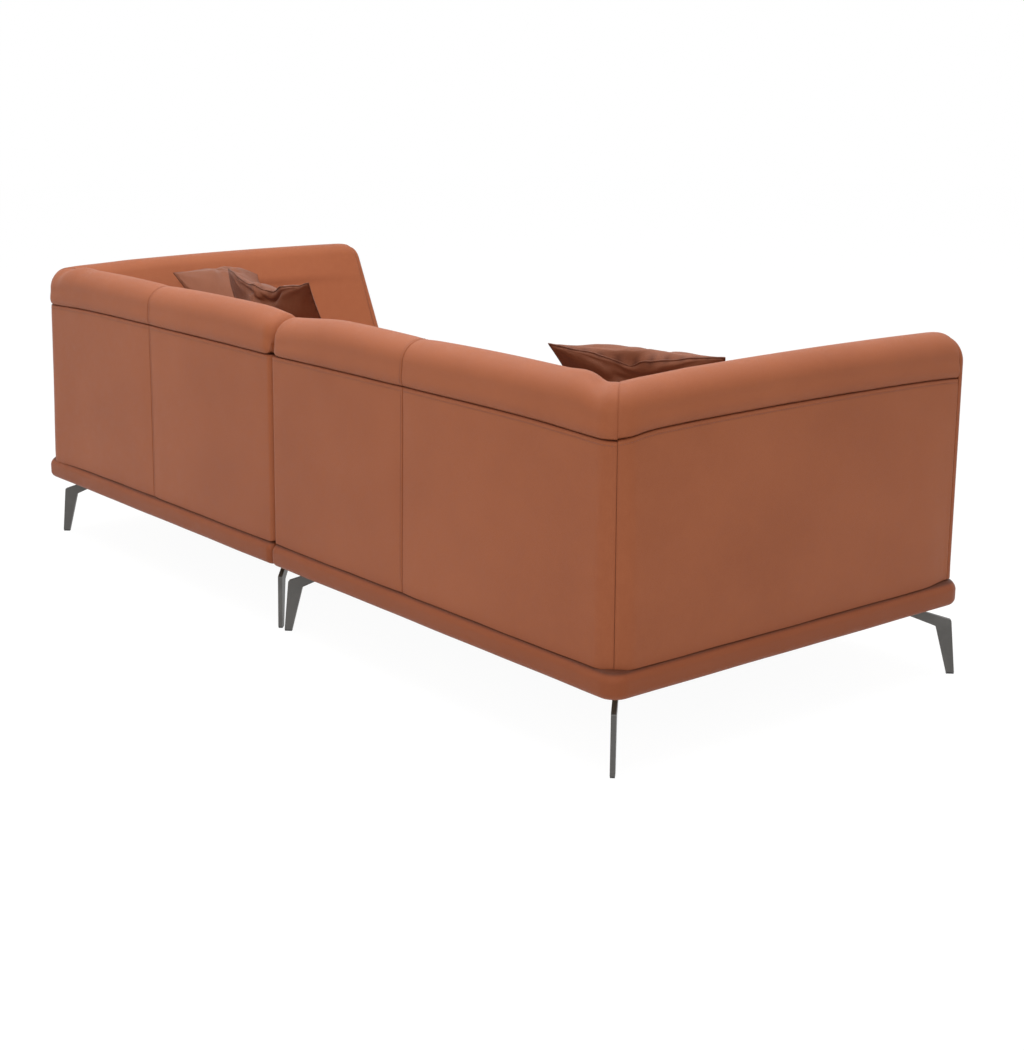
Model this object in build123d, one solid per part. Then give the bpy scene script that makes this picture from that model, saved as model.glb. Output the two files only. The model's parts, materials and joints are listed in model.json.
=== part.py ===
from build123d import *
import math
import os

os.makedirs("parts", exist_ok=True)

# Overall sizes in millimetres; a module runs in +X from the joint plane to the outer face of its arm
module_length = 1140.0
body_depth = 950.0
leg_height = 155.0
base_height = 55.0
panel_height = 420.0
roll_height = 92.0
base_overhang = 17.0

# Gaps that keep neighbouring pieces apart
joint_gap = 0.5
soft_gap = 0.5
rest_gap = 0.3
slide_gap = 0.3
screw_gap = 0.1

# Upholstered base
base_corner_radius = 40.0
base_joint_radius = 18.0
base_nose_radius = 24.0

# Wooden frames
rail_inset = 13.0
rail_width = 70.0
rail_height = 44.0
rail_lift = 5.0
centre_rail_width = 60.0
centre_rail_drop = 14.0
block_leg = 150.0
block_thickness = 26.0
frame_thickness = 30.0
frame_rail_height = 50.0
post_width = 45.0

# Webbing and cloth
strap_thickness = 2.0
seat_strap_width = 70.0
long_strap_count = 6
cross_strap_count = 5
back_strap_width = 60.0
back_strap_count = 6
strap_landing = 26.0
strap_margin = 15.0
cloth_thickness = 2.0
dust_thickness = 1.5
dust_landing = 20.0
dust_clearance = 6.0

# Outer panels
panel_thickness = 22.0
panel_edge_radius = 14.0
welt_edge_radius = 4.0
facing_thickness = 18.0
facing_edge_radius = 11.0
end_cap_thickness = 6.0

# Padded back and arm: a roll on top, an inner face that slopes down to the seat
roll_radius = 50.0
roll_bulge = 3.0
welt_inset = 2.0
pad_depth = 210.0
slope_foot = 240.0
pad_crown = 8.0
seam_pinch = 3.0
end_drop = 14.0
arm_nose_drop = 30.0
seam_from_joint = {"left": 500.0, "right": 560.0}

# Seat cushions
seat_height = 222.0
seat_crown = 14.0
seat_end_crown = 2.0
seat_edge_radius = 36.0
seat_draw_in = 6.0
cushion_end_inset = 14.0
end_round = 40.0
cover_thickness = 3.0

# Bent blade legs, set on the diagonal of each corner; the legs under the arms' fronts reach further out
blade_thickness = 10.0
foot_length = 17.0
foot_inset = 10.0
front_reach = 30.0
elbow_outer = (-12.0, 119.0)
elbow_inner = (-44.0, 105.0)
arm_top_in = -112.0
arm_low_in = -150.0
elbow_radius = 5.0
plate_length = 90.0
plate_width = 60.0
plate_thickness = 5.0
plate_from_tip = 112.0
glide_thickness = 3.0
glide_margin = 0.5

# Screws
screw_radius = 2.5
screw_length = 24.0
screw_head_radius = 5.0
screw_head_height = 3.0
screw_spread = 18.0
screw_edge = 13.0

# Connector brackets between the modules
connector_place = 230.0
tongue_width = 50.0
tongue_sheet = 3.0
tongue_step = 5.0
tongue_reach = 60.0
tongue_land = 64.0
tongue_nose = 14.0
tongue_bend = 6.0
tongue_screw_inset = 18.0
tongue_screw_spread = 14.0
receiver_sheet = 2.5
receiver_length = 58.0
receiver_flange = 20.0

# Throw pillows: width, height and thickness of the filled pillow
pillow_width = 350.0
pillow_height = 340.0
pillow_thickness = 120.0
pillow_edge = 5.0
pillow_draw_in = 34.0
# name: (side, top edge's middle from the arm's and from the back's outer face,
#        lower edge over the seat's crest, turn of the top edge, lean from upright)
pillow_places = {
    "left_corner_pillow": (-1, 285.0, 305.0, -3.80, 25.9, 36.0),
    "right_corner_pillow": (1, 175.0, 401.0, -5.52, -62.0, 37.5),
    "right_front_pillow": (1, 610.0, 289.0, 0.83, 10.5, 33.5),
}

# Levels that follow from the sizes above
base_top = leg_height + base_height
welt_level = base_top + panel_height
rail_bottom = leg_height + rail_lift
rail_top = rail_bottom + rail_height
strap_low = rail_top
strap_high = strap_low + strap_thickness
deck_bottom = strap_high + strap_thickness
deck_top = deck_bottom + cloth_thickness
dust_bottom = rail_bottom - dust_thickness
plate_bottom = rail_bottom - plate_thickness
pad_bottom = deck_top + soft_gap
roll_bottom = welt_level + soft_gap
slope_level = base_top + slope_foot
seat_bottom = deck_top + rest_gap
seat_crest = seat_bottom + seat_height + seat_end_crown + seat_crown

# Plan positions that follow from the sizes above
y_back = body_depth / 2
y_front = -body_depth / 2
frame_outer = panel_thickness + soft_gap
frame_inner = frame_outer + frame_thickness
pad_inner = frame_inner + strap_thickness + soft_gap
corner_x = module_length - roll_radius
corner_y = y_back - roll_radius
facing_back = y_front + facing_thickness
arm_pad_front = facing_back + soft_gap
cap_end = joint_gap + end_cap_thickness
mitre_turn = 45 + math.degrees(soft_gap / 2 / roll_radius)
deck_edge = pad_inner + 2
evenly = (0.0, 0.08, 0.2, 0.35, 0.5, 0.65, 0.8, 0.92, 1.0)


def box(x, y, z):
    """A straight block between two X, two Y and two Z values."""
    size = (x[1] - x[0], y[1] - y[0], z[1] - z[0])
    middle = ((x[0] + x[1]) / 2, (y[0] + y[1]) / 2, (z[0] + z[1]) / 2)
    return Pos(*middle) * Box(*size)


def arc_between(start, end, centre, radius):
    """The short arc of a circle from start to end."""
    first = math.atan2(start[1] - centre[1], start[0] - centre[0])
    last = math.atan2(end[1] - centre[1], end[0] - centre[0])
    half = (first + last) / 2
    middle = (centre[0] + radius * math.cos(half), centre[1] + radius * math.sin(half))
    return ThreePointArc(start, middle, end)


def rest_points(lift):
    """Points of the section of back and arm, as (depth from the outer face, height)."""
    crest = welt_level + roll_height + lift
    centre = (roll_radius, crest - roll_radius)
    foot = (pad_depth, slope_level)
    reach = math.hypot(foot[0] - centre[0], foot[1] - centre[1])
    tilt = math.atan2(foot[1] - centre[1], foot[0] - centre[0]) + math.acos(roll_radius / reach)
    leave = (centre[0] + roll_radius * math.cos(tilt), centre[1] + roll_radius * math.sin(tilt))
    return {
        "welt": (welt_inset, roll_bottom),
        "bulge": (-roll_bulge, (roll_bottom + centre[1]) / 2),
        "shoulder": (0.0, centre[1]),
        "crest": (roll_radius, crest),
        "leave": leave,
        "foot": foot,
        "centre": centre,
    }


def roll_edges(p):
    """Roll and inner slope, from the welt over the crest to the slope's foot."""
    return [
        ThreePointArc(p["welt"], p["bulge"], p["shoulder"]),
        arc_between(p["shoulder"], p["crest"], p["centre"], roll_radius),
        arc_between(p["crest"], p["leave"], p["centre"], roll_radius),
        Line(p["leave"], p["foot"]),
    ]


def pad_section(lift, inner=pad_inner):
    """Hooked section of a back or arm pad, open towards the frame that it hangs on."""
    p = rest_points(lift)
    hook = [(pad_depth, pad_bottom), (inner, pad_bottom), (inner, roll_bottom)]
    edges = roll_edges(p) + [
        Line(p["foot"], hook[0]),
        Line(hook[0], hook[1]),
        Line(hook[1], hook[2]),
        Line(hook[2], p["welt"]),
    ]
    return make_face(edges)


def facing_section(lift):
    """Closed outline of back or arm, for the panels that cover an end."""
    p = rest_points(lift)
    low_in = (pad_depth, pad_bottom)
    low_out = (0.0, pad_bottom)
    edges = [
        arc_between(p["shoulder"], p["crest"], p["centre"], roll_radius),
        arc_between(p["crest"], p["leave"], p["centre"], roll_radius),
        Line(p["leave"], p["foot"]),
        Line(p["foot"], low_in),
        Line(low_in, low_out),
        Line(low_out, p["shoulder"]),
    ]
    return make_face(edges)


def shoulder_section():
    """Outer half of the roll, turned about the corner to round the shoulder."""
    p = rest_points(0)
    under = (roll_radius, roll_bottom)
    edges = [
        ThreePointArc(p["welt"], p["bulge"], p["shoulder"]),
        arc_between(p["shoulder"], p["crest"], p["centre"], roll_radius),
        Line(p["crest"], under),
        Line(under, p["welt"]),
    ]
    return make_face(edges)


def back_plane(x):
    """Section plane across the back at one X."""
    return Plane(origin=(x, y_back, 0), x_dir=(0, -1, 0), z_dir=(-1, 0, 0))


def arm_plane(y):
    """Section plane across the arm at one Y."""
    return Plane(origin=(module_length, y, 0), x_dir=(-1, 0, 0), z_dir=(0, 1, 0))


def back_loft(stations):
    """Pad along the back through (x, lift) stations."""
    return loft([back_plane(x) * pad_section(lift) for x, lift in stations], ruled=True)


def arm_loft(stations):
    """Pad along the arm through (y, lift) stations."""
    return loft([arm_plane(y) * pad_section(lift) for y, lift in stations], ruled=True)


def swell(start, end, low, high, crown, share):
    """Stations between two ends: lifts run from low to high with a crown between them."""
    stations = []
    for t in share:
        lift = low + (high - low) * t + crown * math.sin(math.pi * t) ** 0.8
        stations.append((start + (end - start) * t, lift))
    return stations


def mitre_plane(side_shift):
    """Upright plane through the corner at 45 degrees, moved a little to leave the seam open."""
    shift = side_shift / math.sqrt(2)
    return Plane(origin=(corner_x + shift, corner_y - shift, 0), z_dir=(1, -1, 0))


def make_back_pads(seam):
    """Inner and corner back pads, with a crown in each and drawn in at the seam and at the joint."""
    seam_a = seam - soft_gap / 2
    seam_b = seam + soft_gap / 2
    mitre_start = module_length - pad_depth - 10
    full = cap_end + end_drop * 3
    rounding = [(cap_end, -end_drop), (cap_end + end_drop, -end_drop * 0.35)]
    near = back_loft(rounding + swell(full, seam_a, 0.0, -seam_pinch, pad_crown, evenly))
    cap_face = back_plane(joint_gap) * pad_section(-end_drop, frame_outer)
    cap_low = extrude(cap_face, end_cap_thickness, dir=(1, 0, 0))
    far = back_loft(swell(seam_b, mitre_start, -seam_pinch, 0.0, pad_crown, evenly))
    straight = extrude(back_plane(mitre_start) * pad_section(0), corner_x - mitre_start, dir=(1, 0, 0))
    kept = split(straight, bisect_by=mitre_plane(-soft_gap / 2), keep=Keep.BOTTOM)
    turn = revolve(back_plane(corner_x) * shoulder_section(), Axis((corner_x, corner_y, 0), (0, 0, -1)), 44.7)
    return near + cap_low, far + kept + turn


def make_arm_pad():
    """Arm pad, mitred into the back pad and sinking to a rounded nose at the front."""
    mitre_start = y_back - pad_depth - 10
    front = arm_pad_front
    full = front + arm_nose_drop * 3
    rounding = [
        (front + arm_nose_drop * 1.5, -arm_nose_drop * 0.2),
        (front + arm_nose_drop * 0.6, -arm_nose_drop * 0.5),
        (front, -arm_nose_drop),
    ]
    along = arm_loft(swell(mitre_start, full, 0.0, 0.0, pad_crown, evenly) + rounding)
    straight = extrude(arm_plane(mitre_start) * pad_section(0), corner_y - mitre_start, dir=(0, 1, 0))
    kept = split(straight, bisect_by=mitre_plane(soft_gap / 2), keep=Keep.TOP)
    turn = revolve(arm_plane(corner_y) * shoulder_section(), Axis((corner_x, corner_y, 0), (0, 0, 1)), 44.7)
    return along + kept + turn


def make_facing():
    """Padded panel over the front end of the arm."""
    blank = extrude(arm_plane(y_front) * facing_section(-arm_nose_drop), facing_thickness, dir=(0, 1, 0))
    rim = blank.faces().sort_by(Axis.Y)[0].outer_wire().edges()
    return fillet(rim, facing_edge_radius)


def soften_panel(blank, outer, vertical_edges):
    """Round a panel's outer edges: wide at the foot and at free ends, tight along the welt."""
    bottom = pad_bottom
    rim = blank.edges().filter_by(lambda e: outer(e.center()))
    low = [e for e in rim if abs(e.center().Z - bottom) < 0.01]
    high = [e for e in rim if abs(e.center().Z - welt_level) < 0.01]
    upright = [e for e in rim if vertical_edges(e)]
    rounded = fillet(low + upright, panel_edge_radius)
    top_rim = [e for e in rounded.edges() if abs(e.center().Z - welt_level) < 0.01 and outer(e.center())]
    if high and top_rim:
        rounded = fillet(top_rim, welt_edge_radius)
    return rounded


def make_back_panels(seam):
    """Outer back panels; the corner one wraps round the corner to the arm."""
    levels = (pad_bottom, welt_level)
    near = box((joint_gap, seam - soft_gap / 2), (y_back - panel_thickness, y_back), levels)
    near = soften_panel(
        near,
        lambda c: c.Y > y_back - 0.01 or (c.X < joint_gap + 0.01 and c.Y > y_back - 0.01),
        lambda e: abs(e.center().Z - sum(levels) / 2) < 0.01 and e.center().X < joint_gap + 0.01,
    )
    start = seam + soft_gap / 2
    plan = make_face([
        Line((start, y_back), (corner_x, y_back)),
        corner_arc(roll_radius, 90, mitre_turn),
        Line(corner_point(roll_radius, mitre_turn), corner_point(roll_radius - panel_thickness, mitre_turn)),
        corner_arc(roll_radius - panel_thickness, mitre_turn, 90),
        Line((corner_x, y_back - panel_thickness), (start, y_back - panel_thickness)),
        Line((start, y_back - panel_thickness), (start, y_back)),
    ])
    far = extrude(Pos(0, 0, pad_bottom) * plan, welt_level - pad_bottom)
    return near, soften_panel(far, on_outer_skin, lambda e: False)


def corner_point(radius, turn):
    """Plan point round the corner, turn in degrees from the arm's side."""
    angle = math.radians(turn)
    return (corner_x + radius * math.cos(angle), corner_y + radius * math.sin(angle))


def corner_arc(radius, first, last):
    """Arc round the corner between two turns."""
    middle = corner_point(radius, (first + last) / 2)
    return ThreePointArc(corner_point(radius, first), middle, corner_point(radius, last))


def on_outer_skin(c):
    """True for a point on the outer face of the back, the corner or the arm."""
    if c.X > corner_x and c.Y > corner_y:
        return math.hypot(c.X - corner_x, c.Y - corner_y) > roll_radius - 0.01
    return c.Y > y_back - 0.01 or c.X > module_length - 0.01


def make_arm_panel():
    """Outer arm panel from the mitre in the corner to the arm's front."""
    turn = 90 - mitre_turn
    inner_face = module_length - panel_thickness
    plan = make_face([
        corner_arc(roll_radius, turn, 0),
        Line((module_length, corner_y), (module_length, arm_pad_front)),
        Line((module_length, arm_pad_front), (inner_face, arm_pad_front)),
        Line((inner_face, arm_pad_front), (inner_face, corner_y)),
        corner_arc(roll_radius - panel_thickness, 0, turn),
        Line(corner_point(roll_radius - panel_thickness, turn), corner_point(roll_radius, turn)),
    ])
    blank = extrude(Pos(0, 0, pad_bottom) * plan, welt_level - pad_bottom)
    return soften_panel(blank, on_outer_skin, lambda e: False)


def make_base_pad():
    """Padded rail round the foot of the module, with a bullnose all round."""
    x_low = joint_gap
    x_high = module_length + base_overhang
    y_reach = y_back + base_overhang
    plan = Pos((x_low + x_high) / 2, 0) * Rectangle(x_high - x_low, 2 * y_reach)
    corners = plan.vertices()
    outer_corners = [v for v in corners if v.X > module_length]
    plan = fillet(outer_corners, base_corner_radius)
    joint_corners = [v for v in plan.vertices() if v.X < x_low + 0.01]
    plan = fillet(joint_corners, base_joint_radius)
    blank = extrude(Pos(0, 0, leg_height) * plan, base_height)
    rims = blank.faces().sort_by(Axis.Z)
    nose = list(rims[0].outer_wire().edges()) + list(rims[-1].outer_wire().edges())
    blank = fillet(nose, base_nose_radius)
    inside = rail_inset - soft_gap
    hollow = box(
        (inside, module_length - inside),
        (y_front + inside, y_back - inside),
        (leg_height - 1, base_top + 1),
    )
    return blank - hollow


def screw_spots():
    """Leg screws as (along the leg, across the leg), measured from where a leg without reach has its tip."""
    near = -plate_from_tip - screw_edge
    far = -plate_from_tip - plate_length + screw_edge
    return [(near, screw_spread), (far, -screw_spread)]


def leg_corners():
    """Corner name: (place of a leg without reach in X and in Y, outward angle, reach)."""
    out_x = module_length - foot_inset
    reach_y = y_back - foot_inset
    return {
        "back_corner": (out_x, reach_y, 45.0, 0.0),
        "front_corner": (out_x, -reach_y, -45.0, front_reach),
        "back_joint": (foot_inset, reach_y, 135.0, 0.0),
        "front_joint": (foot_inset, -reach_y, -135.0, 0.0),
    }


def leg_places():
    """Where each leg's own frame lies."""
    return {name: Pos(x, y, 0) * Rot(0, 0, turn) for name, (x, y, turn, reach) in leg_corners().items()}


def make_leg(reach):
    """Bent blade with its screw plate, outward along +X, its foot's tip moved out by the reach."""
    outline = Polyline(
        (reach, glide_thickness),
        (reach + elbow_outer[0], elbow_outer[1]),
        (arm_top_in, plate_bottom),
        (arm_low_in, plate_bottom),
        (reach + elbow_inner[0], elbow_inner[1]),
        (reach - foot_length, glide_thickness),
        close=True,
    )
    profile = make_face(outline)
    elbows = [v for v in profile.vertices() if elbow_inner[1] - 1 < v.Y < elbow_outer[1] + 1]
    profile = fillet(elbows, elbow_radius)
    blade = extrude(Plane.XZ * profile, blade_thickness / 2, both=True)
    plate = box(
        (-plate_from_tip - plate_length, -plate_from_tip),
        (-plate_width / 2, plate_width / 2),
        (plate_bottom, rail_bottom),
    )
    plate = fillet(plate.edges().filter_by(Axis.Z), 8)
    leg = blade + plate
    for along, across in screw_spots():
        middle = (plate_bottom + rail_bottom) / 2
        leg -= Pos(along, across, middle) * Cylinder(screw_radius + screw_gap, plate_thickness * 3)
    return leg


def make_glide(reach):
    """Pad under a foot."""
    return box(
        (reach - foot_length + glide_margin, reach - glide_margin),
        (-blade_thickness / 2 + glide_margin, blade_thickness / 2 - glide_margin),
        (0, glide_thickness),
    )


def make_screw(head_level):
    """Hex-headed wood screw standing upwards from the given level."""
    hexagon = extrude(RegularPolygon(screw_head_radius, 6), screw_head_height)
    head = Pos(0, 0, head_level - screw_head_height) * hexagon
    shank = Pos(0, 0, head_level + screw_length / 2) * Cylinder(screw_radius, screw_length)
    return head + shank


def screw_hole(head_level):
    """Clear hole for one screw."""
    depth = screw_length + 1
    return Pos(0, 0, head_level + depth / 2) * Cylinder(screw_radius + screw_gap, depth)


def make_corner_block(name):
    """Triangular block inside one corner of the base frame."""
    inner = rail_inset + rail_width
    start_x = module_length - inner if "corner" in name else inner
    step_x = -block_leg if "corner" in name else block_leg
    start_y = y_back - inner if "back" in name else y_front + inner
    step_y = -block_leg if "back" in name else block_leg
    outline = Polyline(
        (start_x, start_y),
        (start_x + step_x, start_y),
        (start_x, start_y + step_y),
        close=True,
    )
    return extrude(Pos(0, 0, rail_bottom) * make_face(outline), block_thickness)


def connector_spots():
    """Screws of one bracket as (x, y across the bracket)."""
    along = tongue_land - tongue_screw_inset
    tongue = [(along, tongue_screw_spread), (along, -tongue_screw_spread)]
    side = tongue_width / 2 + slide_gap + receiver_sheet + receiver_flange / 2
    middle = rail_inset + receiver_length / 2
    receiver = [(middle, side), (middle, -side)]
    return {"right": tongue, "left": receiver}


def make_tongue():
    """Stepped steel tongue, screwed under the joint rail and reaching over the joint plane."""
    top = rail_bottom
    low = top - tongue_step
    bend = rail_inset + 4
    slant = tongue_sheet / 2
    outline = Polyline(
        (tongue_land + rail_inset, top),
        (bend + tongue_bend, top),
        (bend, low),
        (-tongue_reach, low),
        (-tongue_reach, low - tongue_sheet),
        (bend + slant, low - tongue_sheet),
        (bend + tongue_bend + slant, top - tongue_sheet),
        (tongue_land + rail_inset, top - tongue_sheet),
        close=True,
    )
    tongue = extrude(Plane.XZ * make_face(outline), tongue_width / 2, both=True)
    nose = [
        e for e in tongue.edges().filter_by(Axis.Z)
        if e.center().X < -tongue_reach + 0.01
    ]
    tongue = chamfer(nose, tongue_nose)
    for x, y in connector_spots()["right"]:
        tongue -= Pos(x, y, top) * Cylinder(screw_radius + screw_gap, tongue_sheet * 3)
    return tongue


def make_receiver():
    """Hat-shaped steel pocket under the left joint rail that takes the tongue."""
    top = rail_bottom
    half = tongue_width / 2 + slide_gap
    depth = tongue_step + tongue_sheet + slide_gap
    edge = half + receiver_sheet + receiver_flange
    outline = Polyline(
        (-edge, top),
        (-half, top),
        (-half, top - depth),
        (half, top - depth),
        (half, top),
        (edge, top),
        (edge, top - receiver_sheet),
        (half + receiver_sheet, top - receiver_sheet),
        (half + receiver_sheet, top - depth - receiver_sheet),
        (-half - receiver_sheet, top - depth - receiver_sheet),
        (-half - receiver_sheet, top - receiver_sheet),
        (-edge, top - receiver_sheet),
        close=True,
    )
    receiver = Pos(rail_inset, 0, 0) * extrude(Plane.YZ * make_face(outline), receiver_length)
    for x, y in connector_spots()["left"]:
        receiver -= Pos(x, y, top) * Cylinder(screw_radius + screw_gap, receiver_sheet * 3)
    return receiver


def connector_levels():
    """Y of the front and rear connector."""
    return (connector_place, -connector_place)


def cushion_section(front, back, bottom, top, crown, edge):
    """Box cushion section in (y, z) with rounded shoulders and a crowned top."""
    shoulder = top - edge
    middle = ((front + back) / 2, top + crown)
    edges = [
        Line((front, bottom), (back, bottom)),
        Line((back, bottom), (back, shoulder)),
        arc_between((back, shoulder), (back - edge, top), (back - edge, shoulder), edge),
        ThreePointArc((back - edge, top), middle, (front + edge, top)),
        arc_between((front + edge, top), (front, shoulder), (front + edge, shoulder), edge),
        Line((front, shoulder), (front, bottom)),
    ]
    return make_face(edges)


def end_rounding(t, span):
    """How far a cushion's end is drawn in at one share of its length, from 1 at the end to 0."""
    near = min(t, 1.0 - t) * span
    if near >= end_round:
        return 0.0
    return 1.0 - math.sqrt(1.0 - (1.0 - near / end_round) ** 2)


def cushion_shares(span):
    """Shares of a cushion's length that follow its rounded ends and its crown."""
    ends = [0.0, 0.08 * end_round / span, 0.3 * end_round / span, 0.65 * end_round / span, end_round / span]
    middle = [0.2, 0.35, 0.5, 0.65, 0.8]
    return ends + middle + [1.0 - t for t in reversed(ends)]


def make_seat(skin):
    """Seat cushion, made smaller all round by the given skin."""
    x_low = joint_gap + skin
    x_high = module_length - pad_depth - soft_gap - skin
    span = x_high - x_low
    front = y_front + skin
    back = y_back - pad_depth - soft_gap - skin
    bottom = seat_bottom + skin
    top = seat_bottom + seat_height - skin
    sections = []
    for t in cushion_shares(span):
        belly = math.sin(math.pi * t)
        inset = cushion_end_inset * end_rounding(t, span) + seat_draw_in * belly
        drop = seat_edge_radius * end_rounding(t, span)
        crown = seat_end_crown + seat_crown * belly
        face = cushion_section(front + inset, back - inset, bottom, top - drop, crown, seat_edge_radius)
        plane = Plane(origin=(x_low + t * span, 0, 0), x_dir=(0, 1, 0), z_dir=(1, 0, 0))
        sections.append(plane * face)
    return loft(sections, ruled=True)


def make_pillow():
    """Square throw pillow standing on its edge, sides drawn in between the corners."""
    sections = []
    rim = pillow_edge / 2
    for step in (-1.0, -0.88, -0.55, 0.0, 0.55, 0.88, 1.0):
        fill = 1.0 - step * step
        half = (pillow_width - pillow_draw_in * fill) / 2
        belly = rim + 1.0 + (pillow_thickness / 2 - pillow_edge) * fill ** 0.7
        lens = make_face([
            Line((-half, -rim), (-half, rim)),
            ThreePointArc((-half, rim), (0, belly), (half, rim)),
            Line((half, rim), (half, -rim)),
            ThreePointArc((half, -rim), (0, -belly), (-half, -rim)),
        ])
        sections.append(Pos(0, 0, step * pillow_height / 2) * lens)
    return loft(sections, ruled=True)


def place_pillow(solid, place):
    """Stand a pillow on the seat, leaning back and turned."""
    end, from_arm, from_back, lift, turn, lean = place
    top = seat_crest + lift + pillow_height * math.cos(math.radians(lean))
    middle = (end * (module_length - from_arm), y_back - from_back, top)
    hang = Pos(0, 0, -pillow_height / 2) * solid
    return Pos(*middle) * Rot(0, 0, turn) * Rot(-lean, 0, 0) * hang


def make_base_frame(side):
    """Rails and corner blocks of the base, bored for the screws."""
    low = rail_inset
    x_high = module_length - rail_inset
    y_low = y_front + rail_inset
    y_high = y_back - rail_inset
    level = (rail_bottom, rail_top)
    rails = [
        box((low, x_high), (y_high - rail_width, y_high), level),
        box((low, x_high), (y_low, y_low + rail_width), level),
        box((low, low + rail_width), (y_low + rail_width, y_high - rail_width), level),
        box((x_high - rail_width, x_high), (y_low + rail_width, y_high - rail_width), level),
        box(
            ((low + x_high - centre_rail_width) / 2, (low + x_high + centre_rail_width) / 2),
            (y_low + rail_width, y_high - rail_width),
            (rail_bottom, rail_top - centre_rail_drop),
        ),
    ]
    for y in connector_levels():
        for x, across in connector_spots()[side]:
            head = bracket_level(side)
            rails[2] -= Pos(x, y + across, 0) * screw_hole(head)
    blocks = []
    for name, place in leg_places().items():
        block = make_corner_block(name)
        for along, across in screw_spots():
            block -= place * Pos(along, across, 0) * screw_hole(plate_bottom)
        blocks.append(block)
    return rails + blocks


def bracket_level(side):
    """Underside of the connector sheet, where its screw heads sit."""
    sheet = tongue_sheet if side == "right" else receiver_sheet
    return rail_bottom - sheet


def make_back_frame(seam):
    """Rails and posts inside the back."""
    y = (y_back - frame_inner, y_back - frame_outer)
    x_low = rail_inset
    x_high = module_length - frame_outer
    top = (welt_level - frame_rail_height, welt_level)
    bottom = (rail_top, rail_top + frame_rail_height)
    between = (bottom[1], top[0])
    return [
        box((x_low, x_high - roll_radius), y, top),
        box((x_low, x_high - roll_radius), y, bottom),
        box((x_low, x_low + post_width), y, between),
        box((seam - post_width / 2, seam + post_width / 2), y, between),
        box((x_high - roll_radius - post_width, x_high - roll_radius), y, between),
    ]


def make_arm_frame():
    """Rails and posts inside the arm."""
    x = (module_length - frame_inner, module_length - frame_outer)
    y_low = arm_pad_front
    y_high = y_back - frame_inner - soft_gap
    top = (welt_level - frame_rail_height, welt_level)
    bottom = (rail_top, rail_top + frame_rail_height)
    between = (bottom[1], top[0])
    middle = (y_low + y_high) / 2
    return [
        box(x, (y_low, y_high), top),
        box(x, (y_low, y_high), bottom),
        box(x, (y_low, y_low + post_width), between),
        box(x, (middle - post_width / 2, middle + post_width / 2), between),
        box(x, (y_high - post_width, y_high), between),
    ]


def spread(low, high, count, width):
    """Evenly spaced strips of one width between two values."""
    pitch = (high - low - width) / (count - 1)
    return [(low + i * pitch, low + i * pitch + width) for i in range(count)]


def make_seat_webbing():
    """Straps across the base: one layer along X, one along Y on top of it."""
    inner = rail_inset + rail_width
    x = (inner - strap_landing, module_length - inner + strap_landing)
    y = (y_front + inner - strap_landing, y_back - inner + strap_landing)
    margin = inner + strap_margin
    clear_x = (margin, module_length - margin)
    clear_y = (y_front + margin, y_back - margin)
    straps = []
    for strip in spread(clear_y[0], clear_y[1], cross_strap_count, seat_strap_width):
        straps.append(box(x, strip, (strap_low, strap_high)))
    for strip in spread(clear_x[0], clear_x[1], long_strap_count, seat_strap_width):
        straps.append(box(strip, y, (strap_high, deck_bottom)))
    return straps


def make_back_webbing():
    """Upright straps on the inner side of the back frame."""
    y = (y_back - frame_inner - strap_thickness, y_back - frame_inner)
    z = (rail_top + strap_margin, welt_level - strap_margin)
    x_low = rail_inset + post_width
    x_high = module_length - frame_outer - roll_radius - post_width
    return [box(strip, y, z) for strip in spread(x_low, x_high, back_strap_count, back_strap_width)]


def make_deck():
    """Cloth over the webbing, under the cushions."""
    return box(
        (rail_inset, module_length - deck_edge),
        (y_front + rail_inset, y_back - deck_edge),
        (deck_bottom, deck_top),
    )


def make_dust_cover():
    """Cloth stapled under the rails, cut back from the leg plates and the connectors."""
    edge = rail_inset + rail_width - dust_landing
    joint_edge = tongue_land + rail_inset + dust_clearance / 2
    cut = (plate_from_tip + plate_length + dust_clearance) * math.sqrt(2)
    x_high = module_length - edge
    y_high = y_back - edge
    joint_cut = cut - (edge - foot_inset)
    far_x = module_length - foot_inset - cut + (edge - foot_inset)
    outline = Polyline(
        (foot_inset + joint_cut, y_high),
        (far_x, y_high),
        (x_high, y_back - foot_inset - joint_cut),
        (x_high, -(y_back - foot_inset - joint_cut)),
        (far_x, -y_high),
        (foot_inset + joint_cut, -y_high),
        (joint_edge, -(y_back - foot_inset - cut + (joint_edge - foot_inset))),
        (joint_edge, y_back - foot_inset - cut + (joint_edge - foot_inset)),
        close=True,
    )
    return extrude(Pos(0, 0, dust_bottom) * make_face(outline), dust_thickness)


def make_screws(side):
    """All wood screws of one module."""
    screws = []
    for place in leg_places().values():
        for along, across in screw_spots():
            screws.append(place * Pos(along, across, 0) * make_screw(plate_bottom))
    for y in connector_levels():
        for x, across in connector_spots()[side]:
            screws.append(Pos(x, y + across, 0) * make_screw(bracket_level(side)))
    return screws


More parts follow.
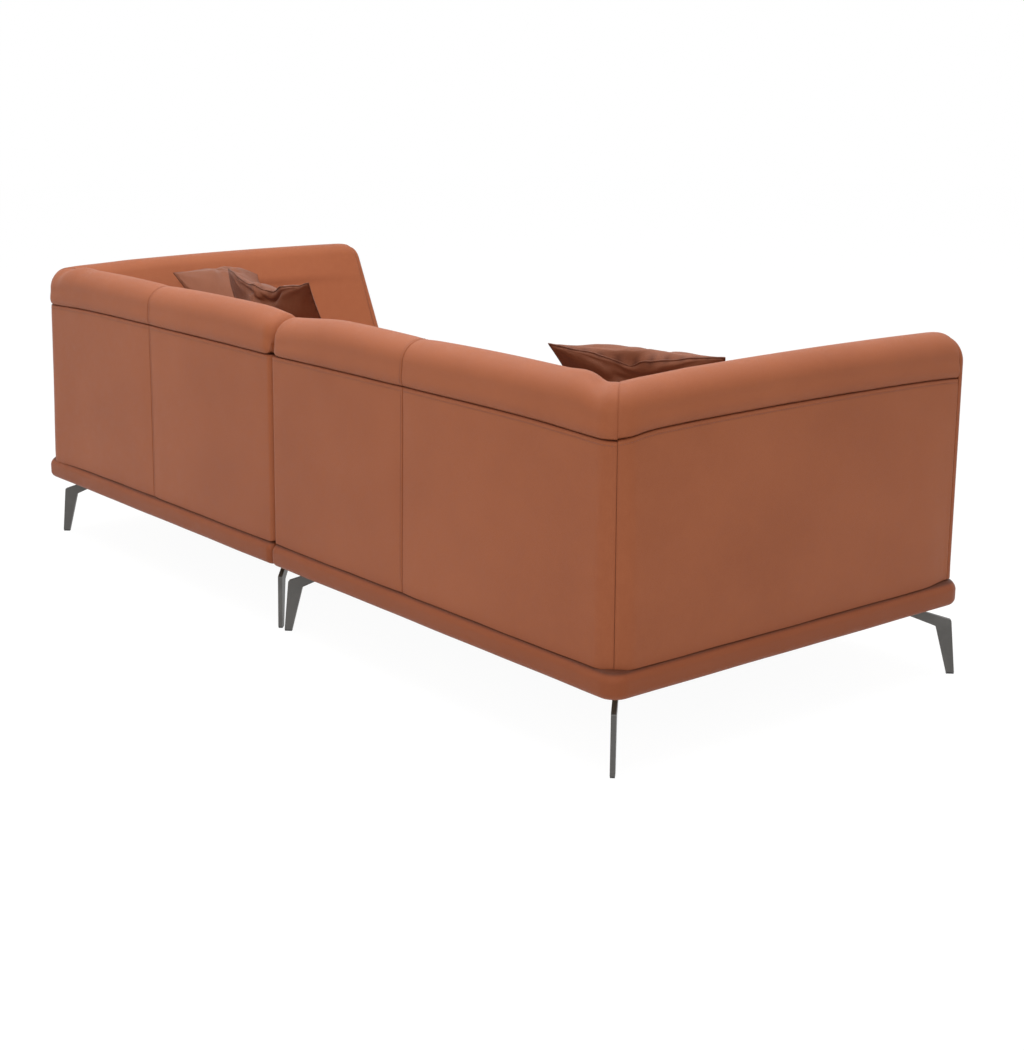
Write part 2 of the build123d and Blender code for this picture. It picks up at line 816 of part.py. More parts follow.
def build_module(side):
    """Every node of one module, as lists of solids in the module's own half."""
    seam = seam_from_joint[side]
    near_panel, far_panel = make_back_panels(seam)
    near_pad, far_pad = make_back_pads(seam)
    seat = make_seat(0.0)
    nodes = {
        "base_frame": make_base_frame(side),
        "back_frame": make_back_frame(seam),
        "arm_frame": make_arm_frame(),
        "seat_webbing": make_seat_webbing(),
        "back_webbing": make_back_webbing(),
        "seat_deck": [make_deck()],
        "dust_cover": [make_dust_cover()],
        "base_pad": [make_base_pad()],
        "back_panel_inner": [near_panel],
        "back_panel_corner": [far_panel],
        "arm_panel": [make_arm_panel()],
        "arm_front_panel": [make_facing()],
        "back_pad_inner": [near_pad],
        "back_pad_corner": [far_pad],
        "arm_pad": [make_arm_pad()],
        "seat_cover": [seat - make_seat(cover_thickness)],
        "seat_core": [make_seat(cover_thickness + rest_gap)],
        "leg_glides": [leg_places()[name] * make_glide(spot[3]) for name, spot in leg_corners().items()],
        "screws": make_screws(side),
    }
    for name, place in leg_places().items():
        nodes["leg_" + name] = [place * make_leg(leg_corners()[name][3])]
    bracket = make_tongue() if side == "right" else make_receiver()
    bracket_name = "connector_tongues" if side == "right" else "connector_receivers"
    nodes[bracket_name] = [Pos(0, y, 0) * bracket for y in connector_levels()]
    return nodes


def save(name, solids):
    """Write one node with all its solids."""
    found = []
    for item in solids:
        found.extend(item.solids())
    export_step(Compound(found), "parts/" + name + ".step")


for side in ("left", "right"):
    for name, solids in build_module(side).items():
        if side == "left":
            solids = [mirror(item, about=Plane.YZ) for item in solids]
        save(side + "_" + name, solids)

pillow = make_pillow()
for name, place in pillow_places.items():
    save(name + "_filled", [place_pillow(pillow, place)])
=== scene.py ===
import json
import math
import bmesh
import bpy
import numpy as np
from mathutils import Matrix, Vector
from mathutils.bvhtree import BVHTree
from mathutils.geometry import tessellate_polygon


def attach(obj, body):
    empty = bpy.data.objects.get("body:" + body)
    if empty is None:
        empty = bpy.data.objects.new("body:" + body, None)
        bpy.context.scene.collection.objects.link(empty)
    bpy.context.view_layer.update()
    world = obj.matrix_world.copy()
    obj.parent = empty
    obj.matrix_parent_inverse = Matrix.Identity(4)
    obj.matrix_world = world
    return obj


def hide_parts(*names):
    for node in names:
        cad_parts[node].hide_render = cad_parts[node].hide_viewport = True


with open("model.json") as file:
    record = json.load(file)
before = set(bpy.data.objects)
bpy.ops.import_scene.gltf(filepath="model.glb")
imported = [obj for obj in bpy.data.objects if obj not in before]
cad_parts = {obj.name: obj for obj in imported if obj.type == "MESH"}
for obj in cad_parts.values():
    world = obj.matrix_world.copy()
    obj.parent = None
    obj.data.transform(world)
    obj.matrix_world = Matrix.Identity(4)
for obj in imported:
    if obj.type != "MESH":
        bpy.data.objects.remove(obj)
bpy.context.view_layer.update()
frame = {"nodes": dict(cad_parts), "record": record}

# Sizes in millimetres; a module is drawn in +X and mirrored for the left one
mm = 0.001
module_length = 1140.0
back_face = 475.0
base_low = 155.0
base_top = 210.0
base_overhang = 17.0
base_inner = 12.5
base_depth = 99.0
base_covered = 60.0
base_corner_radius = 40.0
base_joint_radius = 18.0
base_round_top = 24.0
base_round_low = 14.0
panel_foot = 210.5
welt_level = 630.0
roll_foot = 630.5
roll_radius = 50.0
crest_level = 722.0
pad_depth = 210.0
slope_level = 450.0
panel_thickness = 21.5
pad_back = 55.0
cap_back = 22.5
cap_reach = 6.5
corner_x = module_length - roll_radius
corner_y = back_face - roll_radius
arc_end = corner_x + roll_radius * math.pi / 2.0
mitre_at = corner_x + roll_radius * math.pi / 4.0
mitre_x = corner_x + roll_radius * math.sqrt(0.5)
mitre_y = corner_y + roll_radius * math.sqrt(0.5)
bend_start = module_length - pad_depth - 10.0
joint_gap = 0.5
half_seam = 0.25
arm_pad_front = -456.5
arm_end = arc_end + corner_y - arm_pad_front
arm_end_round = 3.0
facing_thickness = 18.0
facing_round = 11.0
facing_swell = 3.0
# Rings behind the rounded edge of the arm's front panel: depth, inset, painted seam shade
facing_back = [(facing_thickness, 1.2, 1.0), (16.5, 0.0, 0.3), (12.0, 0.0, 0.3)]
# The arm's nose drops less here than in the solids, as the photo shows it fuller
arm_nose_drop = 5.0
arm_nose_length = 36.0
seam_from_joint = {"left": 500.0, "right": 560.0}
sides = {"left": -1.0, "right": 1.0}

# How close together the points of the meshes lie
fine_places = [
    0.0, 0.4, 1.0, 1.8, 2.8, 3.8, 4.8, 5.6, 6.4, 7.2,
    8.0, 9.0, 10.5, 13.0, 16.0, 20.0, 26.0, 34.0, 46.0, 62.0,
]
pad_step = 26.0
panel_step = 24.0
base_step = 38.0
seat_step = 40.0
roll_foot_count = 13
roll_round_count = 25
slope_count = 15
shown_count = roll_foot_count + roll_round_count + slope_count - 2
arc_count = 15
mitre_count = 26
seat_seam_count = 220
pillow_count = 40

# Padding: how much the leather swells and draws in
roll_end_round = {"left": 30.0, "right": 28.0}
roll_tuck = 2.0
roll_belly = 3.4
end_dip = {"left": 12.0, "right": 7.0}
end_dip_reach = {"left": 230.0, "right": 110.0}
pad_crown = {"back": 3.8, "arm": 4.2}
crown_past_bend = {"back": 90.0, "arm": 50.0}
pad_ripple = 0.8
seam_lift = {"back": 3.0, "arm": 4.0}
seam_round = 1.8
seam_valley = 0.9
seam_valley_reach = 26.0
mitre_valley = 1.8
# Swelling and dip of the roll before the corner: height, place before the mitre, reach
corner_gather = (5.0, 96.0, 40.0)
corner_sink = (6.0, 38.0, 24.0)
corner_travel = 150.0
foot_swell = 8.0
foot_reach = 7.0
corner_swell = {"left": 0.0, "right": 6.0}
corner_swell_reach = 130.0
foot_rise = 20.0
foot_clearance = 2.2
arm_foot_reach = 70.0
arm_foot_least = 0.2
base_bulge = 1.5
base_bulge_depth = 24.0
base_wave_depth = 22.0
base_tuck = (2.5, 6.0)
panel_end_round = 14.0
panel_swell = 3.0
welt_round = 2.4
welt_valley = 0.8
welt_valley_reach = 14.0
welt_bow = {"back": 3.0, "arm": 13.0}
welt_bow_reach = 60.0
welt_groove = 2.5
welt_groove_reach = 1.6
mitre_round = 0.6
mitre_half_seam = 0.15
mitre_sag = 6.5
mitre_sag_reach = {"back": 165.0, "arm": 45.0}
pad_fill = 0.8
cover_fill = 0.85

# Painted shade in seams and creases, and the rows of stitches beside them
welt_line = 2.6
welt_zone = 60.0
seam_line = 2.2
crease_line = 9.0
# Painted shade over the whole base, and near-black painted shade in the crease where the panels' feet meet it
base_shade = 0.66
crease_shade = 1.8
mitre_ring_shade = 0.25
seam_shade = {None: 0.62, mitre_round: 0.3}
stitch_shade = 0.55
stitch_line = 1.2
welt_stitch = 8.0
seam_stitch = 6.4
stitch_pitch = 6.6
stitch_length = 4.9
stitch_radius = 0.62
stitch_sides = 5
# Rings of one stitch: share of its length, size, height
stitch_rings = [
    (0.0, 0.45, -0.45), (0.22, 0.95, 0.0), (0.5, 1.0, 0.12), (0.78, 0.95, 0.0), (1.0, 0.45, -0.45),
]
stitched_heights = (234.0, 620.0)
# How far a row of stitches stops short of the ends of its panel
row_inset = {"joint": 6.0, "seam": 3.0, "arm": 3.5, "nose": 4.0}

# Seat cushions
seat_gap = 0.5
seat_far = module_length - pad_depth - seat_gap
seat_rear = back_face - pad_depth - seat_gap
seat_middle = (465.0, -105.0)
seat_bottom = 210.3
seat_top = 432.3
seat_crest = 448.3
seat_seams = {"upper": seat_top - 40.0, "lower": seat_bottom + 30.0}
seat_seam_sink = 1.2
seat_cord_radius = 2.4
cord_shade = 0.35
seat_round = 36.0
seat_margin = 9.0
seat_swell_cap = 9.0
seat_waist = 5.0
# Rise of a cushion's top at its ends, and what the middle adds
seat_crown = (2.0, 13.0)
# Fillings: pressure, frames and stiffness of the cover
seat_filling = (4.0, 20, 15.0)
pillow_filling = (5.0, 24, 12.0)

# Throw pillows: sizes and places of their solids, as middle of the top edge, turn and lean
pillow_width = 350.0
pillow_height = 340.0
pillow_thickness = 120.0
pillow_edge = 5.0
pillow_draw_in = 34.0
top_draw_in = 5.0
least_fill = 0.68
flat_half = 16.0
piping_radius = 1.6
piping_shade = 0.55
ear_depth = 40.0
ear_start = 10.0
chop_reach = 95.0
chop_reach_front = 65.0
# Depths below the top edge at which the chop presses the back in and pushes the front out
sunk_at = 48.0
sunk_reach = 42.0
swollen_at = 28.0
swollen_reach = 26.0
skin_depth = 14.0
crease_start = 16.0
ridge_depth = 60.0
ridge_slope = 0.9
ridge_reach = 45.0
ridge_start = 40.0
ridge_fade = 60.0
# Creases that run off the chop and the corners: depth, length, count
chop_creases = (4.6, 80.0, 7.0)
corner_creases = (2.6, 75.0, 9.0)
pillow_places = {
    "left_corner_pillow": ((-855.0, 170.0, 719.57), 25.9, 36.0),
    "right_corner_pillow": ((965.0, 74.0, 712.52), -62.0, 37.5),
    "right_front_pillow": ((530.0, 186.0, 732.65), 10.5, 33.5),
}
# Creases, then depth, middle and width of the chop, share of swelling kept in front, ridge on the
# back face, and hanging ears as side, outward, forward and down
pillow_forms = {
    "left_corner_pillow": {
        "seed": 0.4, "chop": 33.0, "middle": 16.0, "width": 82.0, "full_front": 0.92, "ridge": 0.0,
        "ears": [(1.0, 16.0, 4.0, -4.0), (-1.0, 6.0, 0.0, -4.0)],
    },
    "right_corner_pillow": {
        "seed": 1.7, "chop": 12.0, "middle": 0.0, "width": 82.0, "full_front": 0.72, "ridge": 0.0,
        "ears": [(1.0, 0.0, 10.0, 62.0)],
    },
    "right_front_pillow": {
        "seed": 2.9, "chop": 38.0, "middle": -6.0, "width": 125.0, "full_front": 0.1, "ridge": 22.0,
        "ears": [(1.0, 28.0, 74.0, 42.0), (-1.0, 4.0, 8.0, 0.0)],
    },
}


# Small mesh helpers
def grid_faces(rows, columns, wrap):
    """Quads over a grid of points, closed round each row if wrap is set."""
    faces = []
    for i in range(rows - 1):
        for j in range(columns if wrap else columns - 1):
            a = i * columns + j
            b = i * columns + (j + 1) % columns
            faces.append((a, b, b + columns, a + columns))
    return faces


def cap_faces(ring, first):
    """Triangles that close one ring of points."""
    points = [Vector(p) for p in ring]
    return [tuple(first + k for k in tri) for tri in tessellate_polygon([points])]


def capped_faces(points, columns):
    """Faces over rings of points, with the first and the last ring closed."""
    faces = grid_faces(len(points) // columns, columns, True)
    faces += cap_faces(points[:columns], 0)
    return faces + cap_faces(points[-columns:], len(points) - columns)


def joining_faces(rows, columns):
    """Quads from the last ring back to the first."""
    last = (rows - 1) * columns
    return [(last + j, last + (j + 1) % columns, (j + 1) % columns, j) for j in range(columns)]


def make_piece(name, verts, faces, material, seam=None, sharp=48.0):
    """Mesh object from millimetre points, with smooth shading and a mask of painted seam shade on its points.
    """
    mesh = bpy.data.meshes.new(name)
    mesh.from_pydata((np.asarray(verts) * mm).tolist(), [], faces)
    mesh.validate()
    turn_outward(mesh)
    mesh.shade_smooth()
    mesh.set_sharp_from_angle(angle=math.radians(sharp))
    store_mask(mesh, "seam", seam)
    mesh.materials.append(material)
    piece = bpy.data.objects.new(name, mesh)
    bpy.context.collection.objects.link(piece)
    return piece


def turn_outward(mesh):
    """Make every face of a closed mesh look outwards."""
    shell = bmesh.new()
    shell.from_mesh(mesh)
    bmesh.ops.recalc_face_normals(shell, faces=shell.faces)
    shell.to_mesh(mesh)
    shell.free()


def store_mask(mesh, name, values):
    """Write one number per point that the materials read."""
    layer = mesh.attributes.new(name, "FLOAT", "POINT")
    if values is None:
        values = np.zeros(len(mesh.vertices))
    layer.data.foreach_set("value", np.asarray(values, dtype=np.float32))


def mirrored(points, hand):
    """Points of the right module, or their mirror for the left one."""
    out = np.array(points, dtype=float)
    out[:, 0] *= hand
    return out


def settle(piece, body, nodes):
    """Say what a padded piece rides on and hide the solids it stands for."""
    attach(piece, body)
    if nodes:
        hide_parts(*nodes)


def make_finer(piece):
    """Subdivide a piece once."""
    rounder = piece.modifiers.new("finer", "SUBSURF")
    rounder.levels = 1
    rounder.render_levels = 1


def add_cord(name, points, faces, material, shade, body):
    """Cord of a sewn edge, in one even painted seam shade."""
    cord = make_piece(name, points, faces, material, np.full(len(points), shade))
    settle(cord, body, [])


# Rounding and swelling along a seam or an edge
def edge_round(distance, radius):
    """How far a surface falls back near an edge that is rounded with one radius."""
    near = np.clip(radius - np.asarray(distance, dtype=float), 0.0, radius)
    return radius - np.sqrt(np.maximum(radius * radius - near * near, 0.0))


def seam_fall(distance):
    """Crease and shallow valley beside a sewn seam."""
    d = np.asarray(distance, dtype=float)
    return edge_round(d, seam_round) + seam_valley * np.exp(-(d / seam_valley_reach) ** 2)


def painted_shade_mask(distance, width=welt_line):
    """Painted shade that is 1 in a seam and fades beside it."""
    return np.exp(-(np.asarray(distance, dtype=float) / width) ** 2)


def stitch_mask(distance, place):
    """Fainter painted shade along a row of stitches that runs beside a seam."""
    return stitch_shade * np.exp(-((np.asarray(distance, dtype=float) - place) / stitch_line) ** 2)


def stations(start, end, fine_start, fine_end, step):
    """Places between two ends, close together near the ends that are fine."""
    span = end - start
    places = set()
    if fine_start:
        places.update(round(start + d, 4) for d in fine_places if d < span / 2)
    if fine_end:
        places.update(round(end - d, 4) for d in fine_places if d < span / 2)
    low = start + (fine_places[-1] if fine_start else 0.0)
    high = end - (fine_places[-1] if fine_end else 0.0)
    count = max(2, int((high - low) / step) + 1)
    places.update(round(p, 4) for p in np.linspace(low, high, count))
    return sorted(places)


def ripple(a, b):
    """Gentle unevenness of stretched leather, in millimetres."""
    slow = np.sin(a / 173.0 + 0.6) * np.cos(b / 141.0) + 0.6 * np.sin(a / 71.0 + b / 97.0 + 1.9)
    return 0.45 * slow + 0.16 * np.sin(a / 31.0 + 2.0 * np.sin(b / 57.0))


def welt_pucker(along, height):
    """Small gathers that the welt pulls into the leather beside it."""
    off = np.abs(np.asarray(height, dtype=float) - welt_level)
    wave = np.sin(along / 13.5 + 1.7 * np.sin(along / 61.0)) + 0.6 * np.sin(along / 29.0 + 0.8)
    return 0.42 * wave * np.exp(-off / 26.0)


def bow_welt(points, on_arm):
    """Lift the welt towards the middle of the back or the arm, and let it sink at the mitre."""
    rest = "arm" if on_arm else "back"
    if on_arm:
        from_mitre = mitre_y - points[:, 1]
        length = mitre_y + back_face
    else:
        from_mitre = mitre_x - points[:, 0]
        length = mitre_x
    share = np.clip(from_mitre / length, 0.0, 1.0)
    height = np.exp(-((points[:, 2] - welt_level) / welt_bow_reach) ** 2)
    bow = welt_bow[rest] * np.sin(math.pi * share) ** 0.32
    sag = mitre_sag * np.exp(-(np.clip(from_mitre, 0.0, None) / mitre_sag_reach[rest]) ** 2)
    points[:, 2] += (bow - sag) * height
    return points


# Section of back and arm: depth from the outer face, height
def rest_section(lift, inner):
    """Closed section of a pad and, for each of its points, how much it takes part in rounding."""
    crest = crest_level + lift
    centre_z = crest - roll_radius
    reach = math.hypot(pad_depth - roll_radius, slope_level - centre_z)
    tilt = math.atan2(slope_level - centre_z, pad_depth - roll_radius) + math.acos(roll_radius / reach)
    points = []
    for t in np.linspace(0.0, 1.0, roll_foot_count) ** 1.8:
        z = roll_foot + (centre_z - roll_foot) * t
        depth = roll_tuck * (1.0 - t) ** 2 - roll_belly * 6.75 * t * (1.0 - t) ** 2
        points.append((depth + welt_groove * math.exp(-(z - roll_foot) / welt_groove_reach), z))
    for angle in np.linspace(math.pi, tilt, roll_round_count)[1:]:
        points.append((roll_radius + roll_radius * math.cos(angle), centre_z + roll_radius * math.sin(angle)))
    leave = points[-1]
    for t in np.linspace(0.0, 1.0, slope_count)[1:]:
        points.append((leave[0] + (pad_depth - leave[0]) * t, leave[1] + (slope_level - leave[1]) * t))
    for z in np.linspace(slope_level, panel_foot, 6)[1:]:
        points.append((pad_depth, z))
    for u in np.linspace(pad_depth, inner, 5)[1:]:
        points.append((u, panel_foot))
    for z in np.linspace(panel_foot, roll_foot, 7)[1:]:
        points.append((inner, z))
    part = np.zeros(len(points))
    part[:shown_count] = 1.0
    part[shown_count - 3:shown_count] = (0.8, 0.45, 0.1)
    return np.array(points), part


def inward(section):
    """Inward normals of a section, in its own plane."""
    run = np.roll(section, -1, axis=0) - np.roll(section, 1, axis=0)
    run /= np.maximum(np.linalg.norm(run, axis=1, keepdims=True), 1e-9)
    return np.stack([run[:, 1], -run[:, 0]], axis=1)


def along_rest(depth, start, t):
    """Place in plan on the way from one X to the mitre, round the shoulder for the outer depths."""
    outer = np.clip(roll_radius - depth, 0.0, None)
    straight = np.where(depth > roll_radius, module_length - depth, corner_x) - start
    length = straight + outer * math.pi / 4.0
    run = t * length
    angle = np.where(outer > 0.01, np.clip(run - straight, 0.0, None) / np.maximum(outer, 0.01), 0.0)
    turned = angle > 0.0
    x = np.where(turned, corner_x + outer * np.sin(angle), start + np.minimum(run, straight))
    y = np.where(turned, corner_y + outer * np.cos(angle), back_face - depth)
    return x, y, length - run


def pad_unevenness(place, section):
    """Unevenness of a pad's skin over one section."""
    return pad_ripple * ripple(place, section[:, 1] * 1.7 + section[:, 0])


def pad_ring(place, lift, fall, inner):
    """One ring of a pad across the back at a straight place."""
    section, part = rest_section(lift, inner)
    bent = section + inward(section) * (part * fall)[:, None]
    bent[:, 0] -= part * pad_unevenness(place, section)
    return np.stack([np.full(len(bent), place), back_face - bent[:, 0], bent[:, 1]], axis=1)


def corner_ring(t, lift):
    """One ring of a pad on its way round the corner to the mitre, with the way left to it."""
    section, part = rest_section(lift, pad_back)
    left = along_rest(section[:, 0], bend_start, t)[2]
    fall = edge_round(left, mitre_round) + mitre_valley * np.exp(-(left / seam_valley_reach) ** 2)
    bent = section + inward(section) * (part * fall)[:, None]
    bent[:, 0] -= part * pad_unevenness(bend_start + t * corner_travel, section) * (1.0 - t)
    x, y, left = along_rest(bent[:, 0], bend_start, t)
    return np.stack([x, y, bent[:, 1]], axis=1), left


def swap_to_arm(points):
    """Mirror points across the mitre, so a pad along the back becomes one along the arm."""
    out = points.copy()
    out[:, 0] = corner_x + points[:, 1] - corner_y
    out[:, 1] = corner_y + points[:, 0] - corner_x
    return out


def dip(distance, depth, reach):
    """Fall of the roll's crest towards an end."""
    share = np.clip(1.0 - distance / reach, 0.0, 1.0)
    return depth * share * share * (3.0 - 2.0 * share)


def crown(share, rest="back"):
    """Swelling of a pad between its two seams."""
    return seam_lift[rest] + pad_crown[rest] * math.sin(math.pi * min(max(share, 0.0), 1.0)) ** 0.8


def gather(left):
    """Swelling and dip of the back's roll just before the corner, by the way left to the mitre."""
    (swell, swell_at, swell_reach), (sink, sink_at, sink_reach) = corner_gather, corner_sink
    raised = swell * math.exp(-((left - swell_at) / swell_reach) ** 2)
    return raised - sink * math.exp(-((left - sink_at) / sink_reach) ** 2)


def inner_pad_rings(side):
    """Back pad between the joint and the vertical seam."""
    seam = seam_from_joint[side]
    start = joint_gap
    end = seam - half_seam
    rings = []
    masks = []
    for s in stations(start, end, True, True, pad_step):
        lift = crown((s - start) / (end - start)) - dip(s - start, end_dip[side], end_dip_reach[side])
        fall = edge_round(s - start, roll_end_round[side]) + seam_fall(end - s)
        inner = cap_back if s < joint_gap + cap_reach else pad_back
        ring = pad_ring(s, float(lift), float(fall), inner)
        rings.append(ring)
        masks.append(np.maximum(ring_mask(ring, end - s), stitch_mask(end - s, seam_stitch)))
    return rings, masks


def ring_mask(ring, from_seam, strength=seam_shade[None]):
    """Painted seam shade of one ring: the vertical seam and the welt."""
    above = np.abs(ring[:, 2] - roll_foot)
    near_welt = np.where(ring[:, 2] < roll_foot + welt_zone, above, welt_zone)
    return np.maximum(strength * painted_shade_mask(from_seam, seam_line), painted_shade_mask(near_welt))


def mitre_steps():
    """Shares of the way to the mitre, closer together at its end."""
    return 1.0 - np.linspace(1.0, 0.0, mitre_count)[1:] ** 1.7


def mitred_pad_rings(rest, start, round_start, added):
    """Pad from its start to the mitre; added says what the crown gains, by the way left to the mitre."""
    crowned = bend_start + crown_past_bend[rest] - start
    rings = []
    masks = []
    for s in stations(start, bend_start, True, False, pad_step):
        lift = crown((s - start) / crowned, rest) + added(corner_x - s)
        ring = pad_ring(s, lift, float(end_fall(s - start, round_start)), pad_back)
        rings.append(ring)
        masks.append(ring_mask(ring, s - start))
    last_crown = crown((bend_start - start) / crowned, rest)
    for t in mitre_steps():
        lift = last_crown * (1.0 - t) ** 1.5 + added((corner_x - bend_start) * (1.0 - t))
        ring, left = corner_ring(t, lift)
        rings.append(ring)
        masks.append(ring_mask(ring, left, mitre_ring_shade))
    return rings, masks


def corner_pad_rings(side):
    """Back pad from the vertical seam to the mitre in the corner."""
    return mitred_pad_rings("back", seam_from_joint[side] + half_seam, None, gather)


def nose_sink(left):
    """Fall of the arm's crest at its nose, by the way left to the mitre."""
    share = min(max((corner_y - arm_pad_front - left) / arm_nose_length, 0.0), 1.0)
    return -arm_nose_drop * (1.0 - math.sqrt(1.0 - (1.0 - share) ** 2))


def arm_pad_rings():
    """Arm pad, as a back pad seen across the mitre, sinking to its rounded nose."""
    start = corner_x + arm_pad_front - corner_y
    rings, masks = mitred_pad_rings("arm", start, arm_end_round, nose_sink)
    return [swap_to_arm(ring) for ring in rings], masks


def pad_mesh(rings, masks, on_arm):
    """Closed mesh through rings of points."""
    points = bow_welt(np.concatenate(rings), on_arm)
    return points, capped_faces(points, len(rings[0])), np.concatenate(masks)


# Outer panels
def skirt_line(s):
    """Plan place and outward direction along the back, round the corner and along the arm."""
    s = np.asarray(s, dtype=float)
    angle = np.clip((s - corner_x) / roll_radius, 0.0, math.pi / 2.0)
    x = np.minimum(s, corner_x) + roll_radius * np.sin(angle)
    y = corner_y + roll_radius * np.cos(angle) - np.maximum(s - arc_end, 0.0)
    return x, y, np.sin(angle), np.cos(angle)


def panel_surface(s, z, start, end, round_start, round_end, swell_at_corner):
    """Points of a panel's outer skin, swollen towards its foot, which tucks in over the base's round edge."""
    share_s = np.clip((s - start) / (end - start), 0.0, 1.0)
    share_z = np.clip((z - panel_foot) / (welt_level - panel_foot), 0.0, 1.0)
    swell = panel_swell * np.sqrt(np.sin(math.pi * share_s) * np.sin(math.pi * share_z))
    below = welt_level - z
    fall = edge_round(below, welt_round) + welt_valley * np.exp(-(below / welt_valley_reach) ** 2)
    fall = fall + end_fall(s - start, round_start) + end_fall(end - s, round_end)
    full = foot_swell
    if end > arm_end - 1.0:
        full = foot_swell * np.clip((end - s) / arm_foot_reach, arm_foot_least, 1.0)
    full = full + swell_at_corner * np.exp(-((s - mitre_at) / corner_swell_reach) ** 2)
    out = swell + full * (1.0 - share_z) ** 1.4
    out = out - np.minimum(fall, panel_thickness - 2.0) + ripple(s * 1.3, z * 1.1) + welt_pucker(s, z)
    turn = np.clip((z - panel_foot) / foot_rise, 0.0, 1.0)
    tucked = np.clip(1.0 - 2.0 * turn, 0.0, 1.0)
    out = np.minimum(out, out * (1.0 - tucked) - foot_reach * tucked)
    depth = np.clip(base_overhang - out, 0.0, base_round_top)
    drop = base_round_top - np.sqrt(base_round_top ** 2 - (base_round_top - depth) ** 2)
    under = base_top + foot_clearance - drop
    rise = np.clip(2.0 * turn - 1.0, 0.0, 1.0)
    height = np.where(turn < 1.0, under + (panel_foot + foot_rise - under) * rise ** 1.2, z)
    x, y, nx, ny = skirt_line(s)
    return np.stack([x + nx * out, y + ny * out, height], axis=-1)


def end_fall(distance, radius):
    """Fall at an upright edge: a sewn seam, or a free end rounded over its radius."""
    if radius is None:
        return seam_fall(distance)
    return edge_round(distance, radius)


def panel_mesh(start, end, round_start, round_end, swell_at_corner, on_arm):
    """Closed padded slab over one panel."""
    along = np.array(stations(start, end, True, True, panel_step))
    bend = np.linspace(max(start, corner_x), min(end, arc_end), arc_count)
    if bend[0] < bend[-1]:
        along = np.unique(np.concatenate([along, bend]))
    up = np.array(stations(panel_foot, welt_level, True, True, panel_step))
    s, z = np.meshgrid(along, up, indexing="ij")
    front = panel_surface(s, z, start, end, round_start, round_end, swell_at_corner)
    x, y, nx, ny = skirt_line(s)
    back = np.stack([x - nx * panel_thickness, y - ny * panel_thickness, z], axis=-1)
    rows, columns = s.shape
    verts = np.concatenate([front.reshape(-1, 3), back.reshape(-1, 3)])
    count = rows * columns
    sheet = grid_faces(rows, columns, False)
    faces = sheet + [tuple(count + k for k in reversed(f)) for f in sheet]
    rim = [(i, 0) for i in range(rows)] + [(rows - 1, j) for j in range(1, columns)]
    rim += [(i, columns - 1) for i in range(rows - 2, -1, -1)] + [(0, j) for j in range(columns - 2, 0, -1)]
    for k, (i, j) in enumerate(rim):
        i2, j2 = rim[(k + 1) % len(rim)]
        a = i * columns + j
        b = i2 * columns + j2
        faces.append((a, b, count + b, count + a))
    # Painted shade in the welt, along its stitch row, near black in the crease at the foot, and in the seams
    # at the panel's ends
    mask = np.maximum(painted_shade_mask(welt_level - z), stitch_mask(welt_level - z, welt_stitch))
    mask = np.maximum(mask, crease_shade * painted_shade_mask(z - panel_foot, crease_line))
    if round_start in seam_shade:
        mask = np.maximum(mask, seam_shade[round_start] * painted_shade_mask(s - start, seam_line))
    if round_end in seam_shade:
        mask = np.maximum(mask, seam_shade[round_end] * painted_shade_mask(end - s, seam_line))
    if round_end is None:
        mask = np.maximum(mask, stitch_mask(end - s, seam_stitch))
    return bow_welt(verts, on_arm), faces, np.concatenate([mask.ravel(), mask.ravel()])


# Front panel of the arm
def facing_mesh():
    """Padded panel over the arm's front end, rounded all round."""
    roll = rest_section(-arm_nose_drop, 0.0)[0][roll_foot_count - 1:shown_count]
    inner_edge = [(pad_depth, z) for z in np.linspace(slope_level - 20.0, panel_foot, 10)]
    foot_edge = [(u, panel_foot) for u in np.linspace(pad_depth, 0.0, 12)[1:]]
    outer_edge = [(0.0, z) for z in np.linspace(panel_foot, roll[0][1], 18)[1:-1]]
    outline = np.concatenate([roll, inner_edge, foot_edge, outer_edge])
    normal = inward(outline)
    front = -back_face
    rings = []
    masks = []
    for depth, inset, shade in facing_back:
        rings.append((outline + normal * inset, front + depth))
        masks.append(shade)
    for angle in np.linspace(0.0, math.pi / 2.0, 9)[1:]:
        inset = facing_round * (1.0 - math.cos(angle))
        depth = facing_round * (1.0 - math.sin(angle)) + math.cos(angle)
        rings.append((outline + normal * inset, front + depth))
        masks.append(0.0)
    base = rings[-1][0]
    middle = base.mean(axis=0)
    for share in (0.93, 0.82, 0.66, 0.48, 0.3, 0.12):
        rings.append((middle + (base - middle) * share, front - facing_swell * (1.0 - share ** 2)))
        masks.append(0.0)
    columns = len(outline)
    points = np.concatenate([
        np.stack([module_length - ring[:, 0], np.full(columns, y), ring[:, 1]], axis=1) for ring, y in rings
    ])
    return points, capped_faces(points, columns), np.repeat(masks, columns)


